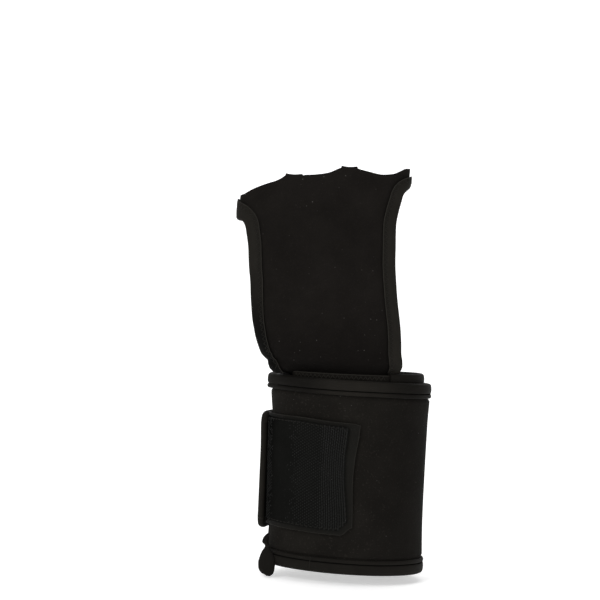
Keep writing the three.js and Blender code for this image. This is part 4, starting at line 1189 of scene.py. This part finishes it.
def palm_place(round_, z):
    """A place on the panel, from the way round it and the height, in millimetres."""
    round_, z = np.asarray(round_, dtype=float), np.asarray(z, dtype=float)
    girth = round_ / SHEET_GIRTH
    girth = girth - np.floor(girth + 0.5)
    side = np.where(girth < 0, -1.0, 1.0)
    size = np.abs(girth)
    front = size <= 0.25
    share = np.where(front, size / 0.25, (0.5 - size) / 0.25)
    inside, outside = smooth((share - 0.71) / 0.16), smooth((share - 0.46) / 0.28)
    beside = inside + (outside - inside) * smooth((z - THUMB_SIDE_MOUTH) / 2)
    drop = THUMB_SIDE_DROP * beside * (1 - smooth((z - THUMB_SIDE_MOUTH - 2.2) / 6))
    drop = np.where(side < 0, drop, 0.0)
    x, y, _, w, d, run = quarter_at(z + drop)
    w, d = between(run, share * run[:, -1], w, d)
    return np.stack([x + side * w, y + np.where(front, -d, d), z], axis=1)


def palm_normal(round_, z):
    return normal_of(palm_place, round_, z, 0.4, 0.4)


def lay_out(rows):
    """Rows of an edge as places in the panel's flat layout."""
    marks = []
    for kind, at, rise in rows:
        z = CUFF_TOP + rise * PALM_LENGTH
        if kind == "out":
            _, _, a, w, _, run = quarter_at(np.array([z]))
            size = np.array([min(0.9999, abs(at)) * a[0]])
            share = between(w, size, run)[0][0] / run[0, -1]
            at = math.copysign(0.25 * share, at)
        marks.append((at * SHEET_GIRTH, z))
    return np.array(marks)


def run_along(rows, stops=()):
    """Even steps along a smooth line through an edge's rows, stopping at given heights."""
    marks = lay_out(rows)
    marks = np.concatenate([[2 * marks[0] - marks[1]], marks, [2 * marks[-1] - marks[-2]]])
    fine = [marks[1]]
    for i in range(1, len(marks) - 2):
        p = marks[i - 1:i + 3]
        steps = np.sqrt(np.linalg.norm(np.diff(p, axis=0), axis=1))
        knots = np.concatenate([[0], np.cumsum(steps)])
        for t in np.linspace(knots[1], knots[2], 25)[1:]:
            row = list(p)
            for spans in ([(0, 1), (1, 2), (2, 3)], [(0, 2), (1, 3)], [(1, 2)]):
                row = [
                    a + (b - a) * (t - knots[low]) / (knots[high] - knots[low])
                    for a, b, (low, high) in zip(row, row[1:], spans)
                ]
            fine.append(row[0])
    fine = np.array(fine)
    lengths = running_length(fine)
    cuts = [0.0]
    for stop in stops:
        over = fine[:, 1] - stop
        i = next(k for k in range(1, len(fine)) if over[k] * over[k - 1] <= 0)
        t = (stop - fine[i - 1][1]) / (fine[i][1] - fine[i - 1][1])
        cuts.append(lengths[i - 1] + t * (lengths[i] - lengths[i - 1]))
    cuts.append(lengths[-1])
    at = [0.0]
    for a, b in zip(cuts, cuts[1:]):
        steps = round((b - a) / PANEL_EDGE_STEP)
        at += list(np.linspace(a, b, max(2, steps + 1))[1:])
    return np.stack([np.interp(at, lengths, fine[:, c]) for c in (0, 1)], axis=1)


def straight(start, end, count):
    return start + (end - start) * np.linspace(0, 1, count + 1)[:, None]


right_foot = PANEL_LEAVES + 0.1
wrap_top_there = float(read(STRIP_COURSE, 2, 270.0)) * STRIP_HEIGHT + TAPE_BUILD
left_foot = wrap_top_there + SEAM_CLEAR + PALM_TAPE_CLEAR_OF_WRAP
right_edge = run_along(RIGHT_EDGE, stops=(right_foot,))
left_edge = run_along(LEFT_EDGE, stops=(left_foot,))
back_right, ring_run, middle_run, index_run, back_left = (run_along(rows) for rows in (
    BACK_MIDDLE_RIGHT, RING_RUN, MIDDLE_RUN, INDEX_RUN, BACK_MIDDLE_LEFT,
))
ring_back = straight(back_right[-1], ring_run[0], WEB_COLUMNS)
ring_front = straight(ring_run[-1], middle_run[0], WEB_COLUMNS)
index_front = straight(middle_run[-1], index_run[0], WEB_COLUMNS)
index_back = straight(index_run[-1], back_left[0], WEB_COLUMNS)
cut_count = round((back_right[0][1] - right_edge[-1][1]) / PANEL_EDGE_STEP)
outline = np.concatenate([run[:-1] for run in (
    right_edge, straight(right_edge[-1], back_right[0], cut_count), back_right, ring_back,
    ring_run, ring_front, middle_run, index_front, index_run, index_back, back_left,
    straight(back_left[-1], left_edge[0], cut_count), left_edge,
    straight(left_edge[-1], right_edge[0], PANEL_FOOT_STEPS),
)])


def gap_to(points, loop):
    """Distance of each point from a closed loop, and whether it lies inside."""
    a, b = loop, np.roll(loop, -1, axis=0)
    best = np.full(len(points), np.inf)
    odd = np.zeros(len(points), dtype=bool)
    for p, q in zip(a, b):
        d = q - p
        t = np.clip(((points - p) @ d) / (d @ d), 0, 1)
        best = np.minimum(best, np.linalg.norm(points - p - t[:, None] * d, axis=1))
        crosses = (p[1] > points[:, 1]) != (q[1] > points[:, 1])
        with np.errstate(divide="ignore", invalid="ignore"):
            x = (q[0] - p[0]) * (points[:, 1] - p[1]) / (q[1] - p[1]) + p[0]
        odd ^= crosses & (points[:, 0] < x)
    return best, odd


def panel_sheet():
    """The panel's middle surface: a triangle field in its outline, and the two web arches."""
    rows, columns = np.meshgrid(
        np.arange(*PANEL_FIELD_ROWS), np.arange(*PANEL_FIELD_COLUMNS), indexing="ij"
    )
    field = np.stack([
        (columns + (rows % 2) / 2) * PANEL_FIELD_STEP,
        PANEL_LEAVES + rows * PANEL_FIELD_STEP * math.sqrt(3) / 2,
    ], axis=-1).reshape(-1, 2)
    gap, inside = gap_to(field, outline)
    field = field[inside & (gap > 0.6 * PANEL_FIELD_STEP)]
    flat = np.concatenate([outline, field])
    found = delaunay_2d_cdt(
        [Vector(p) for p in flat.tolist()], [], [list(range(len(outline)))], 1, 1e-4
    )
    flat = np.array([tuple(p) for p in found[0]])
    places = palm_place(flat[:, 0], flat[:, 1])
    faces = [tuple(f) for f in found[2]]
    for front, back, crest in (
        (ring_front, ring_back, WEB_CREST_RING), (index_front, index_back, WEB_CREST_INDEX),
    ):
        start, end = (palm_place(run[:, 0], run[:, 1]) for run in (front[::-1], back))
        start, end = (run[::-1] if run[0][0] > run[-1][0] else run for run in (start, end))
        angle = np.linspace(0, math.pi, WEB_ROWS + 1)[:, None]
        t = (1 - np.cos(angle)) / 2
        lip = WEB_LIP * np.linspace(-1, 1, WEB_COLUMNS + 1)[None, :] ** 2
        top = CUFF_TOP + (crest + lip) * PALM_LENGTH
        foot = np.where(angle <= math.pi / 2, start[None, :, 2], end[None, :, 2])
        arch = start[None] + (end - start)[None] * t[..., None]
        arch[..., 2] = foot + (top - foot) * np.abs(np.sin(angle)) ** 0.7
        base = len(places)
        places = np.concatenate([places, arch.reshape(-1, 3)])
        web_flat = np.stack([arch[..., 0] + WEB_LAYOUT_SHIFT, arch[..., 1]], -1).reshape(-1, 2)
        flat = np.concatenate([flat, web_flat])
        width = WEB_COLUMNS + 1
        for k in range(WEB_ROWS):
            for j in range(WEB_COLUMNS):
                a = base + k * width + j
                faces.append((a, a + 1, a + width + 1, a + width))
    label = {}
    number = np.empty(len(places), dtype=int)
    for i, key in enumerate(map(tuple, np.round(places * MERGE_STEPS_PER_MM).astype(int))):
        number[i] = label.setdefault(key, i)
    kept = np.unique(number)
    again = np.full(len(places), -1)
    again[kept] = np.arange(len(kept))
    faces = [tuple(again[number[i]] for i in f) for f in faces]
    faces = [f for f in faces if len(set(f)) == len(f)]
    places, flat = places[kept], flat[kept]
    normals = np.zeros_like(places)
    for f in faces:
        p = places[list(f)]
        normals[list(f)] += np.cross(p[1] - p[0], p[2] - p[0])
    return places, unit(normals), faces, flat


panel_places, panel_normals, panel_faces, panel_flat = panel_sheet()
gap, _ = gap_to(panel_flat, outline)
u, v = panel_flat[:, 0], panel_flat[:, 1]
free = smooth((gap - 7) / 9) * (u < WEB_LAYOUT_SHIFT - 100)
hollow = HOLLOW_DEPTH * np.sin(u / 6.1 + v / 17) * np.sin(v / 9.5)
hollow += RIPPLE_DEPTH * np.sin(u / 11 - v / 6.0 + 2)
panel_places = panel_places + panel_normals * (hollow * free)[:, None]
panel = cloth(
    "grip_panel", panel_places, panel_normals, np.full(len(panel_places), PANEL_WALL),
    panel_faces, panel_flat,
)


def suede():
    """Matte suede microfibre: short nap brushed in patches, caught lint, and painted shade
    towards the bottom.
    """
    f = Finish("suede_nap")
    at = f.place()
    nap = f.noise(at, 0.7, 4.0, 0.65)
    brushed = f.noise(at, 13, 3.0, 0.6)
    lint = (1 - f.specks(at, 2.4).above(0.05, 0.12)) * f.cell(at, 2.4).above(0.58, 0.92)
    caught = brushed.above(0.34, 0.56)
    # Painted shade: the suede darkens towards the bottom, where the panel dips into the wrap.
    unshaded_share = f.axis(at, "Z").above(SUEDE_SHADE_BELOW * MM, SUEDE_UNSHADED_ABOVE * MM)
    base = f.colour(toned(SUEDE, 0.62), toned(SUEDE, 1.42), brushed)
    base = f.colour(base, toned(SUEDE, 1.7), nap.above(0.52, 0.75) * 0.5)
    base = f.colour(toned(SUEDE, 0.45), base, 0.30 + unshaded_share * 0.70)
    f.set(
        Base_Color=f.colour(base, SUEDE_LINT, lint * caught),
        Roughness=0.90 + nap * 0.08,
        Sheen_Weight=0.015,
        Sheen_Roughness=0.55,
        Specular_IOR_Level=0.02,
        Normal=f.relief(nap, 0.16, 0.7),
    )
    return f.material


panel.data.materials.append(suede())
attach(panel, "root")
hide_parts("palm_panel")

# Binding of the grip panel. The same tape, folded over the panel's outer edge: up the right
# side, round the back band and down the left side. It is sewn down along its inner edge.
PALM_TAPE_LEG = 5.2
PALM_TAPE_CLEAR = 0.35
PALM_TAPE_SQUARE = 7
PALM_CORNER_ROUND = 47
# Painted shade on the panel's tape: darker towards its lower left, where it runs into the wrap.
PALM_TAPE_SHADE = [(0.12, 1, 1, 57, 92)]
# share of the leg from the edge, and how far the face stands above the flat tape
PALM_TAPE_FACE = [
    (1.00, -0.28),
    (0.99, -0.06),
    (0.97, 0.10),
    (0.93, 0.12),
    (0.90, 0.04),
    (0.86, -0.06),
    (0.80, -0.10),
    (0.72, -0.04),
    (0.64, 0.08),
    (0.50, 0.18),
    (0.34, 0.20),
    (0.18, 0.14),
    (0.06, 0.05),
]
right_taped = right_edge[right_edge[:, 1] > right_foot - 0.01]
left_taped = left_edge[left_edge[:, 1] > left_foot - 0.01]
palm_path = np.concatenate([right_taped, left_taped[1:] + [SHEET_GIRTH, 0]])
corner = np.exp(-((palm_path[:, 0] - SHEET_GIRTH + PALM_CORNER_ROUND) / 8) ** 2)
on_thumb_side = palm_path[:, 0] > SHEET_GIRTH / 2
feet = np.where(on_thumb_side, left_foot, right_foot)
palm_level = 1 - smooth((palm_path[:, 1] - feet) / PALM_TAPE_SQUARE)
thumb_foot = smooth((left_foot + 9 - palm_path[:, 1]) / 9) * on_thumb_side
right_crest = np.exp(-((palm_path[:, 0] - PALM_CORNER_ROUND) / 7) ** 2)
palm_leg = PALM_TAPE_LEG * (1 + 0.62 * corner - 0.30 * thumb_foot - 0.22 * right_crest)
palm_tape = folded_tape(
    "palm_tape", palm_place, palm_normal, palm_path,
    PANEL_WALL, PALM_TAPE_CLEAR, palm_leg, PALM_TAPE_FACE, palm_level,
)
palm_tape.data.materials.append(knit_tape("palm_binding_knit", TAPE, PALM_TAPE_SHADE))
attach(palm_tape, "root")
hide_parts("palm_binding")

# Thread of the panel's binding: a zigzag just inside the tape's corded inner edge, on both
# faces of the panel.
PALM_ZIGZAG_PITCH = 1.05


def palm_rail(share, stand, side=1):
    """A line on the panel's tape, at a share of its leg from the edge."""
    return tape_rail(
        palm_place, palm_normal, palm_path, PANEL_WALL, PALM_TAPE_CLEAR, palm_leg,
        share, stand, palm_level, side,
    )


palm_thread = sew("palm_stitching", [
    stitch_ends([palm_rail(0.93, 0.10, side), palm_rail(0.62, 0.08, side)], PALM_ZIGZAG_PITCH)
    for side in (1, -1)
], thread_finish)
palm_edge_cord = lay_cord("palm_edge_cord", [palm_rail(1.0, -0.08)[1]], edge_finish, 0.19)
for piece in (palm_thread, palm_edge_cord):
    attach(piece, "root")

panel_area = 0.0
for f in panel_faces:
    p = panel_places[list(f)]
    panel_area += np.linalg.norm(np.cross(p[1] - p[0], p[2] - p[0])) / 2
    if len(f) == 4:
        panel_area += np.linalg.norm(np.cross(p[2] - p[0], p[3] - p[0])) / 2

# Studio. A pale seamless floor that runs far in front of the glove and sweeps up behind it,
# lit by three soft square lamps and a dim white surround.
FLOOR_Z = -5.0
FLOOR_REACH = 2600
WALL_DISTANCE = 740
WALL_TOP = 900
# distance behind the glove, and height of the sweep there
SWEEP = [
    (-FLOOR_REACH, 0), (250, 0), (420, 12), (560, 60), (660, 150), (720, 280),
    (WALL_DISTANCE, 460),
]
ys = np.linspace(-FLOOR_REACH, WALL_DISTANCE, 100)
back_line = np.stack([
    np.append(ys, WALL_DISTANCE), np.append(read(SWEEP, 1, ys), WALL_TOP),
], axis=1)
points = [(x, y, z + FLOOR_Z) for y, z in back_line for x in (-FLOOR_REACH, FLOOR_REACH)]
faces = [(2 * i, 2 * i + 1, 2 * i + 3, 2 * i + 2) for i in range(len(back_line) - 1)]
floor = new_piece("floor", np.array(points), faces, np.zeros((len(points), 2)), 180)
pale = Finish("pale_floor")
pale.set(
    Base_Color=(0.92, 0.92, 0.92, 1), Roughness=0.9, Specular_IOR_Level=0.1,
    Emission_Color=(1, 1, 1, 1), Emission_Strength=0.45,
)
floor.data.materials.append(pale.material)


def soft_light(name, place, aim, size, power):
    """A square lamp at a place, turned to what it lights. Sizes in metres, power in watts."""
    lamp = bpy.data.lights.new(name, "AREA")
    lamp.shape = "SQUARE"
    lamp.size = size
    lamp.energy = power
    holder = bpy.data.objects.new(name, lamp)
    holder.location = place
    holder.rotation_euler = (Vector(aim) - Vector(place)).to_track_quat("-Z", "Y").to_euler()
    bpy.context.collection.objects.link(holder)


soft_light("key", (-0.55, -0.9, 0.75), (-0.01, 0, 0.09), 0.5, 5.5)
soft_light("fill", (0.8, -0.7, 0.35), (0, 0, 0.09), 0.6, 1.7)
soft_light("top", (0.0, 0.1, 0.9), (0, 0.1, 0.1), 0.8, 2.5)

world = bpy.data.worlds.new("studio")
world.use_nodes = True
world.node_tree.nodes["Background"].inputs["Color"].default_value = (1, 1, 1, 1)
world.node_tree.nodes["Background"].inputs["Strength"].default_value = 0.30
bpy.context.scene.world = world
bpy.context.scene.view_settings.view_transform = "Standard"

# Camera. Level and straight on to the grip panel from 0.8 m, rolled a little so that the
# glove leans as it does in the photograph.
SENSOR_WIDTH = 36
FIELD_OF_VIEW = 19.6
camera_data = bpy.data.cameras.new("camera")
camera_data.sensor_width = SENSOR_WIDTH
camera_data.lens = SENSOR_WIDTH / (2 * math.tan(math.radians(FIELD_OF_VIEW) / 2))
camera_data.clip_end = 10
camera = bpy.data.objects.new("camera", camera_data)
place = Vector((-0.0252, -0.800, 0.1210))
ahead = Vector((0, 1, 0))
up = Vector((-0.0463, 0, 0.9989)).normalized()
side = ahead.cross(up).normalized()
camera.matrix_world = Matrix((
    (side.x, up.x, -ahead.x, place.x),
    (side.y, up.y, -ahead.y, place.y),
    (side.z, up.z, -ahead.z, place.z),
    (0, 0, 0, 1),
))
bpy.context.collection.objects.link(camera)
bpy.context.scene.camera = camera
